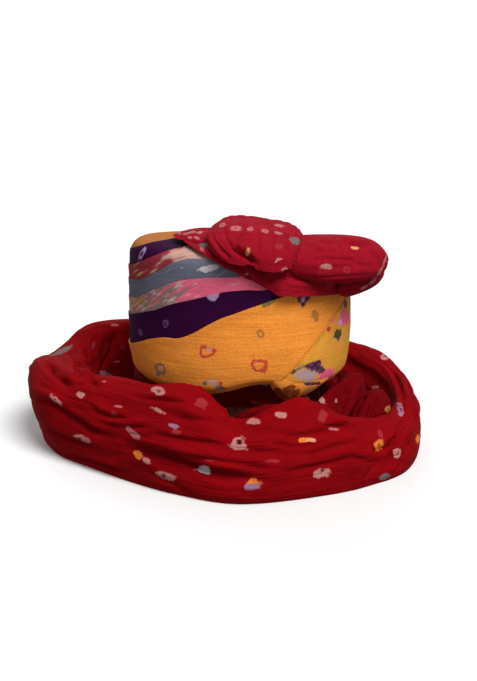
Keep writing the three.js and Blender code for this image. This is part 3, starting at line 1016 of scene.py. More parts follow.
# Tail: turn about the loop's middle in degrees, radii of the inner foot, the crest and the outer foot, the
# height, the shoulder (1 round, less is square) and the belly of the outer flank
TAIL_LOOP = [
    (0, 165, 184, 197, 53, 0.85, 4),
    (28, 160, 186, 193, 64, 0.75, 5),
    (58, 148, 172, 183, 70, 0.8, 6),
    (90, 136, 160, 175, 79, 0.8, 6),
    (120, 140, 169, 183, 87, 0.75, 6),
    (145, 150, 188, 194, 89, 0.6, 8),
    (152, 147, 189, 195, 80, 0.55, 8),
    (160, 143, 189, 194, 74, 0.5, 11),
    (170, 138, 186, 194, 78, 0.5, 13),
    (179, 133, 180, 190, 83, 0.5, 16),
    (196, 125, 152, 173, 85, 0.6, 20),
    (213, 116, 129, 152, 90, 0.8, 14),
    (233, 109, 119, 145, 91, 0.9, 10),
    (252, 108, 118, 150, 99, 0.9, 8),
    (274, 113, 129, 165, 68, 0.9, 9),
    (304, 126, 142, 174, 82, 0.9, 6),
    (318, 134, 154, 184, 62, 0.9, 5),
    (333, 146, 168, 196, 50, 0.85, 4),
]
TAIL_TURN = [
    (6, 84, 106, 120, 52, 0.8, 0),
    (24, 84, 99, 114, 60, 0.8, 0),
    (60, 84, 99, 116, 77, 0.8, 0),
    (120, 84, 99, 116, 77, 0.8, 0),
    (180, 84, 99, 115, 77, 0.8, 0),
    (235, 84, 98, 110, 77, 0.8, 0),
    (256, 84, 96, 108, 46, 0.8, 0),
    (277, 84, 96, 109, 63, 0.8, 0),
    (296, 84, 99, 114, 66, 0.9, 0),
    (316, 84, 104, 121, 63, 0.9, 0),
    (336, 84, 115, 130, 70, 0.8, 0),
    (352, 84, 122, 133, 73, 0.8, 0),
]
# Long folds: flank in degrees up from the foot, wander, waves in a turn, phase, depth
TAIL_FOLDS = [(24, 9, 2, 40, 3.0), (50, 8, 3, 150, 2.8), (76, 10, 2, 260, 2.6), (128, 12, 3, 80, 4)]
# A fold's width in degrees of the flank, and how round the belly is
FOLD_WIDTH = 9
BELLY_ROUND = 0.5
# Gathers of the tail: their pitch and height, how far they drift in pitches, and their seed
GATHERS = [(24, 1.6, 1.0, 1), (9, 0.55, 1.1, 2), (4.4, 0.24, 1.1, 3)]
# How the gathers drift and where they are strong; their mean and most strength, and the level that they
# rise and fall from; the slack of the whole, and the heights over which all of it sets in
LONG_DRIFT, SHORT_DRIFT, STRONG_PLACES = Waves(1.0, 70, 0), Waves(0.5, 28, 10), Waves(0.9, 48, 20)
GATHER_STRENGTH = {"mean": 0.55, "most": 1.3, "level": 0.64}
TAIL_SLACK = Waves(1.5, 42, 5)
GATHERED_ABOVE = (0.5, 9)
# Length and width of each turn's cloth in millimetres, for the weave
TAIL_SIZES = {"tail_loop": (1060, 250), "tail_turn": (640, 220), "tail_fold": (140, 120)}
LOOSE_FOLD = Lobe("tail_fold", (138, -46, 14), (139, -46, 56), (22, 37, 57), 12, -26, "x", 16, 1.6)
LOOP_FOLDS = [
    Crease([(126, 445), (146, 451), (167, 457), (188, 466), (209, 473), (240, 478), (262, 480)],
           9.5, 5.4, 4.0),
    Crease([(137, 444), (160, 451), (195, 458), (216, 461), (237, 464), (259, 468), (283, 469)],
           3.8, 3.0, 2.0),
    Crease([(31, 398), (41, 401), (52, 404), (66, 413), (79, 422), (93, 431), (112, 437)], 6.0, 3.4, 2.6),
    Crease([(41, 428), (56, 434), (72, 441), (96, 448)], 4.4, 3.0, 1.8),
    Crease([(87, 404), (99, 413), (111, 417), (130, 418)], 3.6, 2.4, 1.8),
    Crease([(155, 404), (171, 415), (188, 420), (216, 421), (240, 424), (266, 429)], 2.4, 3.4, 1.2),
    Crease([(220, 426), (248, 428), (280, 433), (299, 439), (318, 434), (339, 431), (360, 425), (388, 422)],
           2.6, 3.6, 1.2),
    Crease([(220, 453), (255, 451), (283, 454), (311, 454), (339, 446), (367, 439)], 2.2, 3.4, 1.0),
    Crease([(374, 452), (388, 447), (397, 439), (401, 426)], 6.0, 3.0, 2.4),
    Crease([(325, 427), (339, 426), (350, 425)], 3.0, 2.4, 1.4),
    Crease([(118, 328), (113, 348), (104, 366), (100, 376)], 6.0, 4.2),
    Crease([(99, 327), (94, 342), (96, 362), (100, 373)], 4.4, 3.6),
    Crease([(84, 346), (90, 366), (91, 382), (96, 388)], 7.4, 3.2, 3.0, (-1, 0)),
    Crease([(70, 354), (78, 368), (83, 382)], 6.0, 3.4, 2.0, (-1, 0)),
    Crease([(46, 362), (58, 376), (70, 388)], 7.0, 3.6, 2.4, (1, 0)),
    Crease([(146, 432), (168, 437), (190, 441), (226, 445)], 2.6, 2.6, 1.2),
    Crease([(262, 442), (300, 448), (330, 441)], 2.4, 2.4, 1.0),
    Crease([(120, 392), (148, 399), (176, 402), (200, 404)], 2.6, 2.4, 1.2),
    Crease([(100, 424), (128, 428), (150, 426)], 2.6, 2.2, 1.2),
    Crease([(60, 452), (92, 462), (130, 474)], 3.0, 2.6, 1.6),
    Crease([(286, 472), (318, 466), (352, 458), (380, 464)], 2.2, 2.8, 1.2),
    Crease([(398, 362), (408, 380), (414, 400), (416, 424)], 4.0, 2.4, 1.4, (-1, 0)),
    Crease([(389, 366), (399, 384), (405, 404), (407, 426)], 4.0, 2.4, 1.4, (-1, 0)),
    Crease([(397, 430), (394, 446), (390, 460), (384, 474)], 4.4, 3.0, 2.0, (1, 0)),
    Crease([(410, 428), (407, 446), (402, 462), (393, 476)], 4.0, 2.8, 1.8, (-1, 0)),
    Crease([(372, 440), (376, 456), (372, 470), (362, 482)], 3.0, 2.8, 1.4, (-1, 0)),
    Crease([(186, 386), (192, 389), (202, 396.5), (209, 404), (217, 412), (225, 418), (232, 420)],
           -6.5, 7.0),
    Crease([(250, 420), (265, 418), (278, 412.5), (290, 407), (303, 403), (315, 403.5)], -6.5, 7.0),
]
TURN_FOLDS = [
    Crease([(330, 400), (342, 389), (356, 378)], 5.0, 3.2, 2.0),
    Crease([(345, 422), (350, 402), (358, 382)], 6.0, 3.2),
    Crease([(338, 412), (342, 398), (350, 384)], 3.0, 2.4),
    Crease([(240, 396), (252, 402), (264, 408)], 3.0, 2.6, 1.5),
]
LOOSE_FOLDS = [
    Crease([(352, 422), (358, 406), (366, 394)], 4.0, 2.8),
    Crease([(372, 422), (376, 406), (378, 393)], 4.0, 2.8),
    Crease([(362, 424), (367, 410), (371, 398)], 2.4, 2.2),
]


@dataclass
class Tail:
    """The long red tail: the loop round the crown, the turn under the rim and the fold between them."""

    form: CrownForm
    lens: PhotoLens
    loop_steps: tuple[int, int] = (500, 176)
    loop_gather: float = 1.0
    turn_steps: tuple[int, int] = (320, 110)
    turn_gather: float = 1.3
    fold_steps: tuple[int, int] = (140, 90)
    spine_steps: int = 2000
    section_steps: int = 300
    pieces: dict[str, bpy.types.Object] = field(default_factory=dict)

    def build(self) -> None:
        """Makes the loop, the inner turn and the fold."""
        middle = self.form.axis - np.array(AXIS_FROM_LOOP)
        loop = self.turned(TAIL_LOOP, middle, self.loop_steps, self.loop_gather)
        loop.crease(self.lens, LOOP_FOLDS)
        self.finish("tail_loop", loop)
        turn = self.turned(TAIL_TURN, self.form.axis, self.turn_steps, self.turn_gather)
        turn.crease(self.lens, TURN_FOLDS)
        self.finish("tail_turn", turn, self.form.rim - GAP)
        fold = LOOSE_FOLD.sheet(*self.fold_steps, self.form.axis)
        fold.crease(self.lens, LOOSE_FOLDS)
        fold.settle(home(LOOSE_FOLD.anchor, self.form.axis), [loop.tree(), turn.tree()])
        self.finish("tail_fold", fold)

    def finish(self, name: str, sheet: ClothGrid, ceiling: float = math.inf) -> None:
        """Presses a part of the tail on the floor, and under the rim, and makes its piece.

        Args:
            name: the piece's name.
            sheet: its skin.
            ceiling: the height that it may not pass.
        """
        sheet.places[..., 2] = np.clip(sheet.places[..., 2], FLOOR_GAP, ceiling)
        piece = sheet.piece(name, TAIL_SIZES[name])
        smooth(piece)
        self.pieces[name] = piece

    def turned(self, table: list[tuple[float, ...]], middle: np.ndarray, steps: tuple[int, int],
               gather: float) -> ClothGrid:
        """One turn of the tail as a gathered, folded tube with a flat foot.

        Args:
            table: its sections.
            middle: the point that it is turned about.
            steps: steps along it and round it.
            gather: how deep its gathers are.

        Returns:
            The tube's skin, closed both ways.
        """
        along, across = steps
        turn, foot_in, peak, foot_out, height, shoulder, belly = np.array(table, float).T
        angle = np.radians(turn)
        way = np.stack([np.cos(angle), np.sin(angle)], 1)
        spine = np.column_stack([way * peak[:, None], height])
        fine = np.linspace(0, 1, self.spine_steps)
        length = run_lengths(closed_spline(spine, fine))
        t = np.interp(np.linspace(0, length[-1], along + 1), length, fine)
        t = np.mod(t + SEAM_SHARE, 1)
        inner = closed_spline(np.column_stack([way * foot_in[:, None], belly]), t)
        crest = closed_spline(spine, t)
        outer = closed_spline(np.column_stack([way * foot_out[:, None], shoulder]), t)
        places = np.zeros((across + 1, along + 1, 3))
        for k in range(along + 1):
            places[:, k] = self.section(t[k], inner[k], crest[k], outer[k], across)
        places[:, -1] = places[:, 0]
        places[..., :2] += middle
        sheet = ClothGrid(places, closed_along=True, closed_across=True)
        self.gather(sheet, gather)
        return sheet

    def section(self, t: float, inner: np.ndarray, crest: np.ndarray, outer: np.ndarray,
                across: int) -> np.ndarray:
        """One section of the tail, at even steps from the outer foot over the crest and along the floor.

        Args:
            t: the place along the tail.
            inner: the inner foot, with the belly as its height.
            crest: the crest.
            outer: the outer foot, with the shoulder as its height.
            across: steps round the section.

        Returns:
            The section's points.
        """
        s = np.linspace(0, 1, self.section_steps)
        flank = math.pi * (s - np.sin(TURN * s) / TURN)
        reach = np.abs(np.cos(flank)) ** outer[2]
        rise = np.clip(np.sin(flank), 0, 1) ** outer[2]
        bite = np.zeros_like(flank)
        for at, wander, waves, phase, depth in TAIL_FOLDS:
            line = at + wander * math.sin(TURN * waves * t + math.radians(phase))
            bite += depth * np.exp(-(((np.degrees(flank) - line) / FOLD_WIDTH) ** 2)) * rise
        outside = (flank < math.pi / 2)[:, None]
        foot = np.where(outside, outer[:2], inner[:2])
        flat = crest[:2] + (foot - crest[:2]) * reach[:, None]
        outward = (outer[:2] - inner[:2]) / np.linalg.norm(outer[:2] - inner[:2])
        swell = np.where(outside[:, 0], 1, -1) * -bite * reach
        swell += np.where(outside[:, 0], inner[2] * np.clip(np.sin(2 * flank), 0, 1) ** BELLY_ROUND, 0)
        flat = flat + outward * swell[:, None]
        points = np.column_stack([flat, (crest[2] - bite) * rise])
        points = np.vstack([points, points[:1]])
        lengths = run_lengths(points)
        at = np.linspace(0, lengths[-1], across + 1)
        return np.stack([np.interp(at, lengths, points[:, k]) for k in range(3)], 1)

    def gather(self, sheet: ClothGrid, depth: float) -> None:
        """Gathers a tube into long ridges that run along it, wander and fade.

        Args:
            sheet: the tube.
            depth: the height of the ridges in millimetres.
        """
        places = sheet.places
        steps = np.linalg.norm(np.diff(places, axis=0), axis=2)
        girth = np.concatenate([np.zeros((1, places.shape[1])), np.cumsum(steps, axis=0)])
        total = np.zeros(places.shape[:2])
        for pitch, height, drift, seed in GATHERS:
            warp = drift * LONG_DRIFT.at(places, seed) + drift * SHORT_DRIFT.at(places, seed)
            ridge = np.abs(np.sin(math.pi * (girth / pitch + warp))) - GATHER_STRENGTH["level"]
            strength = GATHER_STRENGTH["mean"] + STRONG_PLACES.at(places, seed)
            total += height * ridge * np.clip(strength, 0, GATHER_STRENGTH["most"])
        total += TAIL_SLACK.at(places)
        sheet.push(depth * total * ramp(places[..., 2], *GATHERED_ABOVE))


# Short names for the two charts of dye marks, on the red cloth and on the crown, as seen in the photo
K = MarkKind
D = Dye
RED_MARKS = [
    Mark(55.6, 399.6, 8, 3, -40, K.RING, D.WHITE), Mark(81, 395, 4.8, 4.4, -15, K.HEART, D.WHITE),
    Mark(158, 391, 7.6, 4, -8, K.RING, D.WHITE), Mark(119, 406.5, 6, 1.4, -4, K.BLOB, D.PALE),
    Mark(114, 414, 3.4, 4.2, 20, K.BLOB, D.FAINT), Mark(158, 411, 8.6, 3, -25, K.MOON, D.WHITE),
    Mark(133, 433, 9.8, 3.4, -40, K.BLOB, D.PALE), Mark(175, 426, 8, 2.4, -8, K.BLOB, D.LILAC),
    Mark(79, 436, 6.5, 2, 0, K.BLOB, D.WHITE), Mark(86, 440.5, 6, 3.6, -20, K.BLOB, D.PALE),
    Mark(138.5, 454.5, 6.4, 4, -40, K.BLOB, D.ORANGE), Mark(146.5, 460.5, 5.4, 3, -30, K.BLOB, D.WHITE),
    Mark(165.5, 476, 11, 4.4, -14, K.BLOB, D.WHITE), Mark(164, 475.5, 5, 2.8, -14, K.PIT, D.MAROON),
    Mark(204, 470.5, 8.4, 5.4, -18, K.MOON, D.CHALK), Mark(209, 460.5, 6, 1.2, -4, K.BLOB, D.FAINT),
    Mark(238, 446, 9.4, 8.6, -6, K.MOON, D.WHITE), Mark(239.5, 442.6, 4.2, 3.2, -20, K.PIT, D.MAROON),
    Mark(254, 422, 7.2, 4.2, 0, K.MOON, D.WHITE),
    Mark(280, 414.5, 6.6, 3.2, -14, K.BLOB, D.WHITE), Mark(321.5, 399.5, 5.8, 2.8, -42, K.BLOB, D.WHITE),
    Mark(333, 429, 6.6, 1.6, -8, K.BLOB, D.PALE), Mark(303, 440, 5.5, 2.6, 6, K.BLOB, D.ORANGE),
    Mark(312, 440, 5, 2.4, -10, K.BLOB, D.PEACH), Mark(273, 461, 8, 2, 0, K.BLOB, D.FAINT),
    Mark(321.5, 472, 8.8, 6.4, 0, K.BOWL, D.WHITE), Mark(321, 471.5, 2.6, 4.6, 0, K.PIT, D.MAROON),
    Mark(253.5, 480.5, 5.2, 3.8, 0, K.TENT, D.ORANGE),
    Mark(252, 485.5, 8, 5, 0, K.BOWL, D.LILAC), Mark(379, 444.5, 6, 6, 0, K.RING, D.ORANGE),
    Mark(397, 453, 4.4, 5.8, -20, K.RING, D.WHITE), Mark(401, 410, 4, 6.2, 0, K.RING, D.LILAC),
    Mark(385, 476.5, 6.5, 3.2, 18, K.BLOB, D.GREY), Mark(418, 439, 3.6, 5, -20, K.BLOB, D.ORANGE),
    Mark(385.5, 356.5, 5.6, 3.2, 15, K.RING, D.WHITE), Mark(115, 325, 5, 1.3, 0, K.BLOB, D.PALE),
    Mark(62, 351, 10, 3, 30, K.BLOB, D.GREY), Mark(105, 374, 5.6, 2.4, -30, K.BLOB, D.LILAC),
    Mark(123, 347, 3, 2.4, 30, K.BLOB, D.FAINT), Mark(93.5, 345, 2, 4.6, -15, K.BLOB, D.FAINT),
    Mark(375.5, 387, 3.6, 1.4, 10, K.BLOB, D.PALE), Mark(388, 409, 4, 4, 0, K.RING, D.TAN),
    Mark(322.5, 416, 5, 6, 0, K.BLOB, D.FAINT), Mark(380, 433, 2.6, 4.4, 20, K.BLOB, D.FAINT),
    Mark(117, 361.5, 3, 1.2, 0, K.BLOB, D.PALE), Mark(104, 381.5, 3, 1, 0, K.BLOB, D.PALE),
    Mark(202, 403, 7, 6, 0, K.BLOB, D.FAINT), Mark(176, 432, 6, 2.6, 0, K.BLOB, D.FAINT),
    Mark(255, 403, 6, 2, -25, K.BLOB, D.FAINT), Mark(336, 401, 2, 2.4, 30, K.BLOB, D.PALE),
    Mark(222, 225, 4.2, 2.8, 30, K.RING, D.PALE), Mark(236, 228.5, 6.4, 3.4, 0, K.RING, D.PALE),
    Mark(250, 229, 3.4, 3.6, 0, K.RING, D.PALE), Mark(265, 231, 4, 3, 0, K.RING, D.PALE),
    Mark(279.5, 225.5, 5.6, 2.2, -8, K.BLOB, D.PALE), Mark(278, 233, 4.8, 2, -10, K.BLOB, D.PALE),
    Mark(248, 251, 2.4, 5, -15, K.BLOB, D.PEACH), Mark(278, 259.5, 3, 2, 30, K.TENT, D.WHITE),
    Mark(285, 269.5, 4, 2.4, -15, K.TENT, D.PALE), Mark(296, 241, 7, 4.4, -15, K.BLOB, D.GREY),
    Mark(325.5, 267.5, 5.8, 3.6, -4, K.MOON, D.WHITE), Mark(354.5, 247.5, 4.4, 2.2, -6, K.BOWL, D.PEACH),
    Mark(347, 270, 3.4, 4.4, 0, K.RING, D.FAINT), Mark(330, 285, 4, 3, 0, K.BLOB, D.FAINT),
    Mark(279, 246, 5, 3.4, 0, K.BLOB, D.FAINT), Mark(246.5, 274, 2, 1.8, 0, K.BLOB, D.PALE),
    Mark(179, 233, 3, 1.8, -30, K.BLOB, D.PALE), Mark(186, 233.5, 3.6, 1.8, 10, K.RING, D.WHITE),
    Mark(193, 232, 3.4, 2, 0, K.BLOB, D.PALE), Mark(200, 232.5, 3.2, 2, 10, K.RING, D.WHITE),
    Mark(190, 237.5, 3, 1.6, -25, K.BLOB, D.PALE), Mark(197, 238, 3.4, 1.8, -25, K.BLOB, D.PALE),
    Mark(203.5, 245, 4.4, 5.2, 25, K.BLOB, D.GREY), Mark(202, 249.5, 1.6, 4.6, 35, K.BLOB, D.PALE),
    Mark(384.5, 261, 1.8, 6, -18, K.BLOB, D.PALE), Mark(380, 272, 1.8, 6, -28, K.BLOB, D.PALE),
    Mark(373, 281, 1.8, 6, -44, K.BLOB, D.PALE), Mark(364, 287.5, 1.8, 5.5, -60, K.BLOB, D.PALE),
]
# The crown's chart also holds one blot of painted shade, on the tuck
CROWN_MARKS = [
    Mark(206.5, 352, 10, 6.8, 8, K.LOOP, D.ROSE), Mark(259.5, 365.5, 9, 7.8, 0, K.LOOP, D.ROSE),
    Mark(208, 350.5, 5, 3, 8, K.PIT, D.SHELL), Mark(160.5, 368.5, 3.4, 4, 0, K.PIT, D.SHELL),
    Mark(160.5, 369, 6, 7.4, 0, K.LOOP, D.SLATE), Mark(212.5, 382.5, 6.5, 3.8, -5, K.BLOB, D.SHELL),
    Mark(205, 383, 2.6, 3, 0, K.BLOB, D.SLATE), Mark(220, 388, 6.4, 2.4, -12, K.BLOB, D.SLATE),
    Mark(220.8, 383.6, 3, 2.6, -30, K.BLOB, D.ROSE), Mark(303, 299.5, 3, 2.6, 0, K.PIT, D.PETAL),
    Mark(268, 303, 7.6, 3.4, 32, K.BLOB, D.GREEN), Mark(303, 300.5, 5, 5.4, 180, K.TENT, D.VIOLET),
    Mark(315.5, 316, 4.6, 5.8, 0, K.RING, D.TAN), Mark(261, 334, 5, 4, 0, K.RING, D.TAN),
    Mark(329, 329, 2.8, 2.8, 0, K.BLOB, D.ROSE), Mark(338, 335, 4.4, 6.4, -25, K.BLOB, D.MOSS),
    Mark(345, 318, 7, 9, 6, K.BLOB, D.FUCHSIA), Mark(333.5, 321, 2.2, 3.6, -30, K.BLOB, D.CORAL),
    Mark(340.6, 322.4, 3.4, 3.2, 0, K.PIT, D.PETAL), Mark(341.4, 337.2, 0.9, 5, -25, K.PIT, D.SHELL),
    Mark(345.5, 304, 2.2, 5, 0, K.BLOB, D.PLUM),
    Mark(307, 375.5, 12, 7, -6, K.BLOB, D.MIST), Mark(316.5, 367.5, 12, 5.6, -18, K.TENT, D.VIOLET),
    Mark(293.2, 372, 3.2, 2.4, 30, K.BLOB, D.MOSS), Mark(300, 368.5, 7, 1.4, 28, K.BLOB, D.SLATE),
    Mark(311, 383.5, 12.5, 2.2, -2, K.BLOB, D.VIOLET),
    Mark(326.5, 375, 9.5, 6.6, 30, K.BLOB, D.FUCHSIA), Mark(311, 391.5, 7.6, 4, 0, K.BLOB, D.PEACH),
    # Painted shade: a broad brown blot over the tuck, which hangs in shadow under the lifted rim
    Mark(282, 397, 22, 11, 12, K.BLOB, D.BROWN),
    Mark(213, 296.6, 5.6, 4.6, 194, K.TENT, D.MAUVE), Mark(165.5, 324, 3.6, 5, 10, K.LOOP, D.PLUM),
    Mark(140.5, 333, 2.2, 5.4, 25, K.BLOB, D.PLUM), Mark(141.5, 254, 3, 7.4, -30, K.LOOP, D.MAUVE),
    Mark(209, 268, 10.6, 3.6, 12, K.RING, D.CHALK), Mark(181, 268, 3, 1, 10, K.BLOB, D.CHALK),
]


# Shapes of marks: how tall a heart is, how deep its dip, and how far up it sits; how steep a tent's foot
# and sides are, and how far up it sits; and how sharply a moon or a bowl is cut, and how far off its middle
HEART = {"tall": 1.1, "dip": 0.55, "up": 0.2}
TENT = {"foot": 1.15, "across": 0.85, "rise": 0.62, "up": 0.1}
HALF = {"cut": 1.7, "off": 0.1}
# How sharp the corners of a tent, a moon or a bowl are, and the hollow shares of a ring and a loop
CORNER_SHARPNESS = 7.0
CORES = {MarkKind.RING: 0.34, MarkKind.LOOP: 0.52}
# A piece's attributes: how far out of a mark each point lies, how hollow that mark is, and its dye
REACH, CORE, TINT = "dye_reach", "dye_core", "dye_tint"


def reach_of(kind: MarkKind, x: np.ndarray, y: np.ndarray) -> np.ndarray:
    """How far out of a mark's shape places lie.

    Args:
        kind: the shape.
        x: places across the mark, 1 at its edge.
        y: places up the mark, 1 at its edge.

    Returns:
        0 at the middle, 1 on the edge and more outside.
    """
    plain = np.hypot(x, y)
    if kind is MarkKind.PIT:
        return 2 * plain - 1
    if kind is MarkKind.HEART:
        return np.hypot(x, HEART["tall"] * y - HEART["dip"] * np.abs(x) + HEART["up"])
    if kind is MarkKind.TENT:
        across, rise = TENT["across"] * x, TENT["rise"] * y
        return rounded_most(-TENT["foot"] * y, across + rise + TENT["up"], rise - across + TENT["up"])
    if kind is MarkKind.MOON:
        return rounded_most(plain, -HALF["cut"] * y + HALF["off"])
    if kind is MarkKind.BOWL:
        return rounded_most(plain, HALF["cut"] * y + HALF["off"])
    return plain


def rounded_most(*values: np.ndarray) -> np.ndarray:
    """The greatest of some values, with the corners between them rounded."""
    total = sum(np.exp(CORNER_SHARPNESS * value) for value in values)
    return np.log(total) / CORNER_SHARPNESS


@dataclass
class Dyer:
    """Ties and dyes the dots: those charted from the photo, and like ones where the photo can't see. A
    scattered dot has a least and a most half width, half height and turn, and lies off the underside."""

    lens: PhotoLens
    far: float = 6.0
    near: float = 30.0
    unseen: float = 16.0
    tries: int = 60
    underside: float = -0.85
    level: float = 0.95
    least: tuple[float, float, float] = (5, 3, -40)
    most: tuple[float, float, float] = (9, 5.5, 40)
    charted: dict[str, list[np.ndarray]] = field(default_factory=dict)

    def chart(self, pieces: list[bpy.types.Object], marks: list[Mark]) -> None:
        """Puts charted marks on the pieces that the photo sees them on.

        Args:
            pieces: the pieces that may carry them.
            marks: the chart.
        """
        trees = [BVHTree.FromObject(piece, bpy.context.evaluated_depsgraph_get()) for piece in pieces]
        eye = self.lens.eye()
        right, up, _ = self.lens.axes()
        for mark in marks:
            way = Vector(self.lens.ray(mark.x, mark.y))
            hits = [tree.ray_cast(Vector(eye * MM), way) for tree in trees]
            reach = [hit[3] if hit[0] is not None else math.inf for hit in hits]
            first = int(np.argmin(reach))
            if not math.isfinite(reach[first]):
                log.info("mark at %s, %s misses the cloth", mark.x, mark.y)
                continue
            middle = np.array(hits[first][0]) / MM
            scale = float(np.linalg.norm(middle - eye)) / self.lens.focal
            self.dye(pieces[first], middle, right, up, mark, scale)
            self.charted.setdefault(pieces[first].name, []).append(middle)

    def scatter(self, piece: bpy.types.Object, count: int, spacing: float, seed: int, dyes: list[Dye],
                behind: float) -> None:
        """Scatters like marks where the photo's camera sees nothing of a piece.

        Args:
            piece: the piece.
            count: the most marks to make.
            spacing: the least distance between two, in millimetres.
            seed: chooses the places.
            dyes: the dyes to draw from.
            behind: the depth that a mark has to lie behind, because it shows through a thin sheet.
        """
        chance = np.random.default_rng(seed)
        places, skin = vertices(piece), normals_of(piece)
        seen = self.seen(piece)
        taken = list(self.charted.get(piece.name, []))
        full = len(taken) + count
        for i in chance.permutation(len(places))[: self.tries * count]:
            if len(taken) >= full:
                break
            place = places[i]
            shows = seen.find(Vector(place))[2] < self.unseen
            close = any(np.linalg.norm(place - other) < spacing for other in taken)
            if shows or close or skin[i][2] < self.underside or place[1] < behind:
                continue
            taken.append(place)
            steep = abs(skin[i][2]) < self.level
            side = np.cross(skin[i], [0, 0, 1.0]) if steep else np.array([1.0, 0, 0])
            side /= np.linalg.norm(side)
            rise = np.cross(skin[i], side)
            kind = LOOSE_KINDS[chance.integers(len(LOOSE_KINDS))]
            dye = dyes[chance.integers(len(dyes))]
            wide, tall, turn = chance.uniform(self.least, self.most)
            self.dye(piece, place, side, rise, Mark(0, 0, wide, tall, turn, kind, dye), 1.0)

    def seen(self, piece: bpy.types.Object) -> KDTree:
        """The points of a piece, in millimetres, that the photo's camera sees of it standing alone."""
        places, skin = vertices(piece), normals_of(piece)
        tree = BVHTree.FromObject(piece, bpy.context.evaluated_depsgraph_get())
        ways = self.lens.eye() - places
        ways /= np.linalg.norm(ways, axis=1, keepdims=True)
        starts = (places + skin) * MM
        facing = np.flatnonzero((skin * ways).sum(1) > 0)
        shown = [i for i in facing if tree.ray_cast(Vector(starts[i]), Vector(ways[i]))[0] is None]
        near = KDTree(len(shown))
        for order, i in enumerate(shown):
            near.insert(Vector(places[i]), order)
        near.balance()
        return near

    def blank(self, piece: bpy.types.Object) -> None:
        """Gives a piece its dye attributes, with no mark yet."""
        for name, kind in ((REACH, "FLOAT"), (CORE, "FLOAT"), (TINT, "FLOAT_COLOR")):
            if name not in piece.data.attributes:
                piece.data.attributes.new(name, kind, "POINT")
        count = len(piece.data.vertices)
        piece.data.attributes[REACH].data.foreach_set("value", np.full(count, self.far, np.float32))

    def dye(self, piece: bpy.types.Object, middle: np.ndarray, right: np.ndarray, up: np.ndarray,
            mark: Mark, scale: float) -> None:
        """Dyes one mark into a piece's attributes.

        Args:
            piece: the piece.
            middle: the mark's middle.
            right: the way across the mark.
            up: the way up the mark.
            mark: its row.
            scale: millimetres for each unit of the mark's sizes.
        """
        places = vertices(piece)
        away = places - middle
        near = np.linalg.norm(away, axis=1) < self.near
        turn = math.radians(mark.turn)
        across, rise = away[near] @ right / scale, away[near] @ up / scale
        x = (across * math.cos(turn) + rise * math.sin(turn)) / mark.wide
        y = (rise * math.cos(turn) - across * math.sin(turn)) / mark.tall
        reach = reach_of(mark.kind, x, y)
        count = len(places)
        held = np.zeros(count, np.float32)
        core = np.zeros(count, np.float32)
        tint = np.zeros(count * 4, np.float32)
        data = piece.data.attributes
        data[REACH].data.foreach_get("value", held)
        data[CORE].data.foreach_get("value", core)
        data[TINT].data.foreach_get("color", tint)
        tint = tint.reshape(-1, 4)
        at = near.nonzero()[0][reach < held[near]]
        held[at] = reach[reach < held[near]]
        core[at] = CORES.get(mark.kind, 0.0)
        tint[at] = linear(mark.dye.value)
        data[REACH].data.foreach_set("value", held)
        data[CORE].data.foreach_set("value", core)
        data[TINT].data.foreach_set("color", tint.ravel())


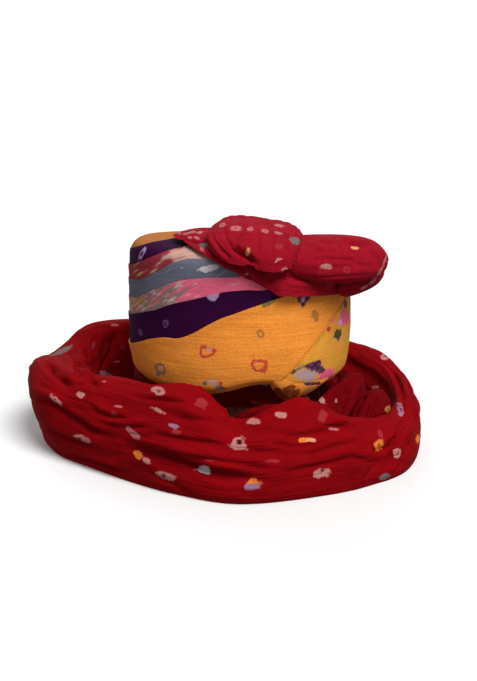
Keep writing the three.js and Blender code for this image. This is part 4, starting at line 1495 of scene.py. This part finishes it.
class Wiring:
    """Short ways to add and join the nodes of a shader tree."""

    def __init__(self, tree: bpy.types.NodeTree) -> None:
        """Takes a tree to work on.

        Args:
            tree: the tree.
        """
        self.tree = tree

    def node(self, kind: str, **settings: object) -> bpy.types.Node:
        """Adds a node.

        Args:
            kind: its type, without its prefix.
            settings: its properties.

        Returns:
            The new node.
        """
        made = self.tree.nodes.new("ShaderNode" + kind)
        for key, value in settings.items():
            setattr(made, key, value)
        return made

    def feed(self, end: bpy.types.NodeSocket, value: object) -> None:
        """Joins a socket to another one, or sets it to a plain value."""
        if isinstance(value, bpy.types.NodeSocket):
            self.tree.links.new(value, end)
        else:
            end.default_value = value

    def math(self, operation: str, *values: bpy.types.NodeSocket | float) -> bpy.types.NodeSocket:
        """Adds a sum, a product or the like.

        Args:
            operation: what is done.
            values: sockets and plain numbers, in order.

        Returns:
            The result's socket.
        """
        made = self.node("Math", operation=operation)
        for end, value in zip(made.inputs, values):
            self.feed(end, value)
        return made.outputs[0]

    def span(self, value: bpy.types.NodeSocket, limits: tuple[float, float, float, float],
             smooth: bool = True) -> bpy.types.NodeSocket:
        """Maps a value from one range to another.

        Args:
            value: the value's socket.
            limits: the range's start and end, and what they become.
            smooth: whether its ends are eased.

        Returns:
            The new value's socket.
        """
        made = self.node("MapRange", interpolation_type="SMOOTHSTEP" if smooth else "LINEAR")
        for key, limit in zip(("From Min", "From Max", "To Min", "To Max"), limits):
            made.inputs[key].default_value = limit
        self.feed(made.inputs["Value"], value)
        return made.outputs["Result"]

    def mix(self, share: bpy.types.NodeSocket, below: object, above: object) -> bpy.types.NodeSocket:
        """Lays one colour over another.

        Args:
            share: how much of the upper one shows.
            below: the lower colour.
            above: the upper colour.

        Returns:
            The new colour's socket.
        """
        made = self.node("Mix", data_type="RGBA")
        for key, value in (("Factor", share), ("A", below), ("B", above)):
            self.feed(made.inputs[key], value)
        return made.outputs["Result"]

    def noise(self, vector: bpy.types.NodeSocket, detail: float) -> bpy.types.NodeSocket:
        """Adds noise whose pitch is one unit of its coordinates."""
        made = self.node("TexNoise")
        made.inputs["Scale"].default_value = 1.0
        made.inputs["Detail"].default_value = detail
        self.feed(made.inputs["Vector"], vector)
        return made.outputs["Fac"]

    def stretched(self, vector: bpy.types.NodeSocket, pitch: tuple[float, float, float],
                  detail: float) -> bpy.types.NodeSocket:
        """Adds noise with its own pitch along each axis.

        Args:
            vector: the coordinates, in metres.
            pitch: the noise's pitch along each axis, in millimetres.
            detail: its detail.

        Returns:
            The noise's value socket.
        """
        mapping = self.node("Mapping")
        mapping.inputs["Scale"].default_value = [1 / (p * MM) for p in pitch]
        self.feed(mapping.inputs["Vector"], vector)
        return self.noise(mapping.outputs["Vector"], detail)

    def group(self, tree: bpy.types.NodeTree, **values: object) -> bpy.types.NodeSocket:
        """Places a node group.

        Args:
            tree: the group.
            values: what its inputs are fed with, by name.

        Returns:
            Its output.
        """
        made = self.node("Group", node_tree=tree)
        for name, value in values.items():
            self.feed(made.inputs[name], value)
        return made.outputs[0]


class NodeGroup(Wiring):
    """A shader node group under construction, with named inputs and outputs."""

    def __init__(self, name: str) -> None:
        """Starts a group.

        Args:
            name: the group's name.
        """
        super().__init__(bpy.data.node_groups.new(name, "ShaderNodeTree"))
        self.into = self.tree.nodes.new("NodeGroupInput")
        self.out = self.tree.nodes.new("NodeGroupOutput")

    def socket(self, name: str, kind: str, way: str = "INPUT") -> None:
        """Adds an input or output socket."""
        self.tree.interface.new_socket(name=name, in_out=way, socket_type="NodeSocket" + kind)


# Noise in the cloth: its pitch along each axis in millimetres, and its detail
NOISES = {
    "warp": ((9, 0.7, 1), 1),
    "weft": ((0.7, 9, 1), 1),
    "gather": ((60, 2.6, 1), 3),
    "cloud": ((26, 26, 26), 4),
    "streak": ((40, 1.8, 1), 3),
    "grain": ((1.5, 1.5, 1.5), 2),
    "ragged": ((6, 6, 6), 2),
    "blot": ((5, 5, 5), 2),
}
# The threads' share in the weave's height, the noise's middle, and how ragged a tied mark's edge is
THREAD_SHARE = 0.25
NOISE_MIDDLE = 0.5
RAGGED = 1.3
# Ranges in a tied mark, as their start and end and what they become: its edge, a ring's hollow and the
# patches of its dye; and the hollow share under which a mark is full
MARK_EDGE = (0.78, 1.06, 1.0, 0.0)
MARK_HOLLOW = (-0.2, 0.1, 0.05, 1.0)
MARK_PATCHES = (0.32, 0.6, 0.84, 1.0)
FULL_UNDER = 0.01


class Effects:
    """The node groups that the cloths share: weave, dye mottling and tied marks."""

    def __init__(self) -> None:
        """Builds the groups."""
        self.weave = self.make_weave()
        self.mottle = self.make_mottle()
        self.marks = self.make_marks()

    def make_weave(self) -> bpy.types.NodeTree:
        """Slubby threads both ways, and long gather lines, as a height."""
        group = NodeGroup("mull_weave")
        group.socket("UV", "Vector")
        group.socket("Gather", "Float")
        group.socket("Height", "Float", "OUTPUT")
        uv = group.into.outputs["UV"]
        warp, weft, lines = [group.stretched(uv, *NOISES[name]) for name in ("warp", "weft", "gather")]
        threads = group.math("ADD", warp, weft)
        deep = group.math("MULTIPLY", lines, group.into.outputs["Gather"])
        group.feed(group.out.inputs["Height"], group.math("MULTIPLY_ADD", threads, THREAD_SHARE, deep))
        return group.tree

    def make_mottle(self) -> bpy.types.NodeTree:
        """Uneven dye, as a colour made darker and lighter over the cloth."""
        group = NodeGroup("uneven_dye")
        group.socket("Place", "Vector")
        group.socket("UV", "Vector")
        group.socket("Colour", "Color")
        for share in ("Depth", "Streak", "Grain"):
            group.socket(share, "Float")
        group.socket("Colour", "Color", "OUTPUT")
        place, uv = group.into.outputs["Place"], group.into.outputs["UV"]
        value = 1.0
        layers = ((place, "cloud", "Depth"), (uv, "streak", "Streak"), (place, "grain", "Grain"))
        for source, name, share in layers:
            centred = group.math("SUBTRACT", group.stretched(source, *NOISES[name]), NOISE_MIDDLE)
            scaled = group.math("MULTIPLY_ADD", centred, group.into.outputs[share], 1.0)
            value = group.math("MULTIPLY", value, scaled)
        toned = group.node("VectorMath", operation="SCALE")
        group.feed(toned.inputs[0], group.into.outputs["Colour"])
        group.feed(toned.inputs["Scale"], value)
        group.feed(group.out.inputs["Colour"], toned.outputs[0])
        return group.tree

    def make_marks(self) -> bpy.types.NodeTree:
        """The tied dots, laid over a cloth's own colour with soft, uneven edges."""
        group = NodeGroup("tied_marks")
        group.socket("Place", "Vector")
        group.socket("Colour", "Color")
        group.socket("Colour", "Color", "OUTPUT")
        reach, core, tint = [group.node("Attribute", attribute_name=name) for name in (REACH, CORE, TINT)]
        place, hollow_share = group.into.outputs["Place"], core.outputs["Fac"]
        ragged, blot = [group.stretched(place, *NOISES[name]) for name in ("ragged", "blot")]
        uneven = group.math("MULTIPLY_ADD", ragged, RAGGED, -RAGGED * NOISE_MIDDLE)
        edge = group.math("ADD", reach.outputs["Fac"], uneven)
        inside = group.span(edge, MARK_EDGE)
        ring = group.span(group.math("SUBTRACT", edge, hollow_share), MARK_HOLLOW)
        full = group.math("LESS_THAN", hollow_share, FULL_UNDER)
        mask = group.math("MULTIPLY", inside, group.math("MAXIMUM", full, ring))
        soft = group.math("MULTIPLY", mask, group.span(blot, MARK_PATCHES, smooth=False))
        dyed = group.mix(soft, group.into.outputs["Colour"], tint.outputs["Color"])
        group.feed(group.out.inputs["Colour"], dyed)
        return group.tree


# Strokes of a second dye: how steeply they rise along a wrap in degrees, their detail and their edge
STROKE_SLANT = 30
STROKE_DETAIL = 3.0
STROKE_EDGE = (0.62, 0.78, 0.0, 1.0)
# Matt cotton: its roughness, its shine, and the height of its weave and finest gathers in millimetres
ROUGHNESS = 0.88
SHINE = 0.05
WEAVE_HEIGHT = 2.4


@dataclass(frozen=True)
class Streak:
    """A second dye that runs through a wrap: its colour, its pitch both ways, and where it is thick."""

    colour: tuple[int, int, int]
    pitch: tuple[float, float]
    cover: float
    full_left_of: float
    gone_right_of: float


@dataclass(frozen=True)
class ClothFinish:
    """A dyed cotton mull: its colour, how uneven the dye is, how deep its gathers are, and any streaks."""

    name: str
    slot: str
    colour: tuple[int, int, int]
    depth: float = 0.35
    streak: float = 0.3
    gather: float = 0.5
    bump: float = 0.35
    grain: float = 0.35
    streaks: tuple[Streak, ...] = ()

    def material(self, effects: Effects) -> bpy.types.Material:
        """Builds the material.

        Args:
            effects: the shared node groups.

        Returns:
            The new material.
        """
        made = bpy.data.materials.new(self.name)
        made.use_nodes = True
        wires = Wiring(made.node_tree)
        shader = made.node_tree.nodes["Principled BSDF"]
        shader.inputs["Roughness"].default_value = ROUGHNESS
        shader.inputs["Specular IOR Level"].default_value = SHINE
        coords = wires.node("TexCoord")
        place, uv = coords.outputs["Object"], coords.outputs["UV"]
        colour = wires.group(effects.mottle, Place=place, UV=uv, Colour=linear(self.colour),
                             Depth=self.depth, Streak=self.streak, Grain=self.grain)
        for row in self.streaks:
            colour = self.run(wires, row, colour, place, uv)
        colour = wires.group(effects.marks, Place=place, Colour=colour)
        wires.feed(shader.inputs["Base Color"], colour)
        bump = wires.node("Bump")
        bump.inputs["Strength"].default_value = self.bump
        bump.inputs["Distance"].default_value = WEAVE_HEIGHT * MM
        wires.feed(bump.inputs["Height"], wires.group(effects.weave, UV=uv, Gather=self.gather))
        wires.feed(shader.inputs["Normal"], bump.outputs["Normal"])
        return made

    def run(self, wires: Wiring, row: Streak, colour: bpy.types.NodeSocket, place: bpy.types.NodeSocket,
            uv: bpy.types.NodeSocket) -> bpy.types.NodeSocket:
        """Runs a second dye through the cloth in slanting strokes.

        Args:
            wires: the material's tree.
            row: the streak.
            colour: the colour so far.
            place: object coordinates.
            uv: the cloth's own coordinates.

        Returns:
            The new colour.
        """
        mapping = wires.node("Mapping", vector_type="TEXTURE")
        mapping.inputs["Rotation"].default_value = (0, 0, math.radians(STROKE_SLANT))
        mapping.inputs["Scale"].default_value = (row.pitch[0] * MM, row.pitch[1] * MM, 1)
        wires.feed(mapping.inputs["Vector"], uv)
        strokes = wires.noise(mapping.outputs["Vector"], STROKE_DETAIL)
        split = wires.node("SeparateXYZ")
        wires.feed(split.inputs[0], place)
        bounds = (row.full_left_of * MM, row.gone_right_of * MM)
        side = wires.span(split.outputs["X"], (*bounds, row.cover, 0.0))
        cover = wires.span(wires.math("ADD", strokes, side), STROKE_EDGE)
        return wires.mix(cover, colour, linear(row.colour))


TAIL_RED = ClothFinish("tail_red_mull", "tail_red", (130, 2, 10), 0.5, 0.5, 0.9, 0.6)
# Painted shade: the tail's red made darker for the inner turn and the loose fold, which lie in shade
# between the crown and the loop
SHADED_RED = ClothFinish("deep_red_mull", "tail_red", (104, 1, 8), 0.5, 0.5, 0.9, 0.6)
BUNDLE_RED = ClothFinish("bundle_red_mull", "tail_red", (146, 14, 32), 0.5, 0.5, 0.9, 0.6)
FRONT_YELLOW = ClothFinish("front_yellow_mull", "wound_yellow", (242, 148, 57), 0.25, 0.35, 0.35, 0.55, 0.7)
SIDE_GOLD = ClothFinish(
    "side_gold_mull", "wound_gold", (224, 154, 58), 0.3, 0.25, 0.4, 0.35, 0.7,
    streaks=(Streak((196, 152, 44), (30, 14), 0.06, 300, 400),),
)
PURPLE = ClothFinish("violet_mull", "wound_purple", (48, 6, 48), 0.4, 0.3, 0.5, 0.35)
PINK_LOW = ClothFinish(
    "pink_mull", "wound_pink", (232, 100, 130), 0.3, 0.3, 0.5, 0.35,
    streaks=(
        Streak((146, 118, 112), (22, 5), 0.3, -70, -5),
        Streak((176, 128, 60), (26, 6), 0.2, -85, -45),
        Streak((206, 182, 176), (16, 2.4), 0.12, -60, 0),
    ),
)
GREY = ClothFinish(
    "slate_mull", "wound_grey", (102, 104, 120), 0.35, 0.3, 0.5, 0.35,
    streaks=(Streak((150, 142, 146), (26, 4), 0.02, -10, 60),),
)
PINK_HIGH = ClothFinish(
    "pale_pink_mull", "wound_pink", (190, 146, 140), 0.35, 0.35, 0.5, 0.35,
    streaks=(
        Streak((146, 48, 60), (26, 7), 0.42, -80, -25),
        Streak((206, 170, 110), (30, 4), 0.06, -60, 20),
    ),
)
TOP_YELLOW = ClothFinish("top_yellow_mull", "wound_yellow", (170, 106, 50), 0.25, 0.25, 0.5, 0.3)
WALL_YELLOW = ClothFinish("wall_yellow_mull", "wound_yellow", (176, 104, 44), 0.35, 0.35, 0.8, 0.5)

FINISHES = {
    "wound_wall": WALL_YELLOW,
    "wrap_front": FRONT_YELLOW,
    "wrap_side": SIDE_GOLD,
    "wrap_purple_low": PURPLE,
    "wrap_pink_low": PINK_LOW,
    "wrap_grey": GREY,
    "wrap_pink_high": PINK_HIGH,
    "wrap_purple_high": PURPLE,
    "wrap_top": TOP_YELLOW,
    "rim_tuck": FRONT_YELLOW,
    "bundle_under": BUNDLE_RED,
    "bundle_flap": BUNDLE_RED,
    "bundle_mid": BUNDLE_RED,
    "bundle_end": BUNDLE_RED,
    "tail_loop": TAIL_RED,
    # The inner turn and the loose fold take the red with painted shade
    "tail_turn": SHADED_RED,
    "tail_fold": SHADED_RED,
}
LOOSE_KINDS = [MarkKind.BLOB, MarkKind.RING, MarkKind.HEART, MarkKind.TENT, MarkKind.MOON]
RED_DYES = [Dye.WHITE, Dye.WHITE, Dye.PALE, Dye.WHITE, Dye.ORANGE, Dye.LILAC, Dye.GREY, Dye.FAINT]
YELLOW_DYES = [Dye.ROSE, Dye.SLATE, Dye.ROSE, Dye.GREEN, Dye.TAN, Dye.PINK, Dye.VIOLET]


# Marks scattered where the photo can't see: the piece, the most marks, the least distance between two,
# their seed and dyes, and how far behind the crown's axis they start
SCATTERED = [
    ("tail_loop", 60, 34, 100, RED_DYES, -math.inf),
    ("tail_turn", 24, 34, 101, RED_DYES, -math.inf),
    ("bundle_mid", 6, 34, 110, RED_DYES, -20),
    ("bundle_end", 8, 34, 111, RED_DYES, -20),
    ("bundle_under", 8, 34, 112, RED_DYES, -20),
    ("wrap_front", 12, 40, 120, YELLOW_DYES, 20),
    ("wrap_side", 8, 40, 121, YELLOW_DYES, 20),
]
# Soft lights: the name, the way it comes from, its breadth in degrees and its strength
LIGHTS = [
    ("key", (0.44, -0.64, 1.0), 30, 3.3),
    ("fill", (-0.15, -1.0, 0.7), 60, 0.3),
    ("back", (-0.3, 1.0, 0.4), 60, 0.9),
]


@dataclass
class Studio:
    """The pale floor, the soft lights and the camera."""

    lens: PhotoLens
    reach: float = 30.0
    pale: float = 0.88
    roughness: float = 0.9
    surround: float = 0.27
    near_clip: float = 0.01

    def build(self) -> None:
        """Sets up the floor, the lights and the camera."""
        self.floor()
        self.world()
        for row in LIGHTS:
            self.light(*row)
        self.camera()
        bpy.context.scene.view_settings.view_transform = "Standard"

    def floor(self) -> None:
        """A pale floor that reaches out of the picture."""
        deselect()
        bpy.ops.mesh.primitive_plane_add(size=2 * self.reach, location=(0, 0, 0))
        floor = bpy.context.object
        floor.name = "studio_floor"
        material = bpy.data.materials.new("studio_floor")
        material.use_nodes = True
        shader = material.node_tree.nodes["Principled BSDF"]
        shader.inputs["Base Color"].default_value = (self.pale, self.pale, self.pale, 1)
        shader.inputs["Roughness"].default_value = self.roughness
        floor.data.materials.append(material)
        floor.visible_diffuse = False

    def world(self) -> None:
        """An even pale surround, as white as the floor where it is seen past the floor's end."""
        world = bpy.data.worlds.new("studio")
        bpy.context.scene.world = world
        world.use_nodes = True
        wires = Wiring(world.node_tree)
        back = world.node_tree.nodes["Background"]
        back.inputs["Color"].default_value = (1, 1, 1, 1)
        seen = wires.node("LightPath").outputs["Is Camera Ray"]
        wires.feed(back.inputs["Strength"], wires.span(seen, (0, 1, self.surround, 1), smooth=False))

    def light(self, name: str, place: tuple[float, float, float], spread: float, power: float) -> None:
        """One broad soft light that falls evenly on the pagri and the floor.

        Args:
            name: the light's name.
            place: the way it comes from.
            spread: how broad it is, in degrees.
            power: its strength.
        """
        data = bpy.data.lights.new(name, "SUN")
        data.angle = math.radians(spread)
        data.energy = power
        lamp = bpy.data.objects.new(name, data)
        bpy.context.scene.collection.objects.link(lamp)
        lamp.rotation_euler = (-Vector(place)).to_track_quat("-Z", "Y").to_euler()

    def camera(self) -> None:
        """The camera, at the photo's angle."""
        data = bpy.data.cameras.new("photo_view")
        data.sensor_width = self.lens.sensor
        data.lens = self.lens.focal / self.lens.height * self.lens.sensor
        data.clip_start = self.near_clip
        camera = bpy.data.objects.new("photo_view", data)
        bpy.context.scene.collection.objects.link(camera)
        camera.location = Vector(self.lens.eye() * MM)
        way = Vector(-self.lens.axes()[2])
        camera.rotation_euler = way.to_track_quat("-Z", "Y").to_euler()
        bpy.context.scene.camera = camera


def declare(pieces: dict[str, bpy.types.Object]) -> None:
    """Hangs each piece on the root body and hides the imported part that it stands for.

    Args:
        pieces: every piece by name.
    """
    sheets = {wrap.name: (wrap.flat, "stretched") for wrap in WRAPS}
    sheets |= {"wrap_side": (SIDE_FLAT, "stretched"), "rim_tuck": (TUCK["flat"], "folded")}
    sheets["bundle_under"] = (DRAPE_FLAT, "draped")
    for name, piece in pieces.items():
        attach(piece, "root")
        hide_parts("crown_base" if name == "wound_wall" else name)


def main() -> None:
    """Builds the pagri, dyes it, dresses it and sets the studio."""
    logging.basicConfig(level=logging.INFO)
    form = CrownForm.from_frame()
    middle = form.axis - np.array(AXIS_FROM_LOOP)
    lens = PhotoLens(np.array([*middle, 0]) + np.array(LENS_AIM))
    Studio(lens).build()
    pieces: dict[str, bpy.types.Object] = {}
    for part in (Crown(form), Bundle(form, lens), Tail(form, lens)):
        part.build()
        pieces |= part.pieces
    dyer = Dyer(lens)
    for piece in pieces.values():
        dyer.blank(piece)
    dyer.chart(list(pieces.values()), RED_MARKS + CROWN_MARKS)
    for name, count, spacing, seed, dyes, behind in SCATTERED:
        dyer.scatter(pieces[name], count, spacing, seed, dyes, form.axis[1] + behind)
    effects = Effects()
    made = {finish.name: finish.material(effects) for finish in FINISHES.values()}
    for name, piece in pieces.items():
        piece.data.materials.clear()
        piece.data.materials.append(made[FINISHES[name].name])
        area = sum(face.area for face in piece.data.polygons)
        log.info("%s: %d faces, %.4f square metres of surface", name, len(piece.data.polygons), area)
    declare(pieces)


if __name__ == "__main__":
    main()
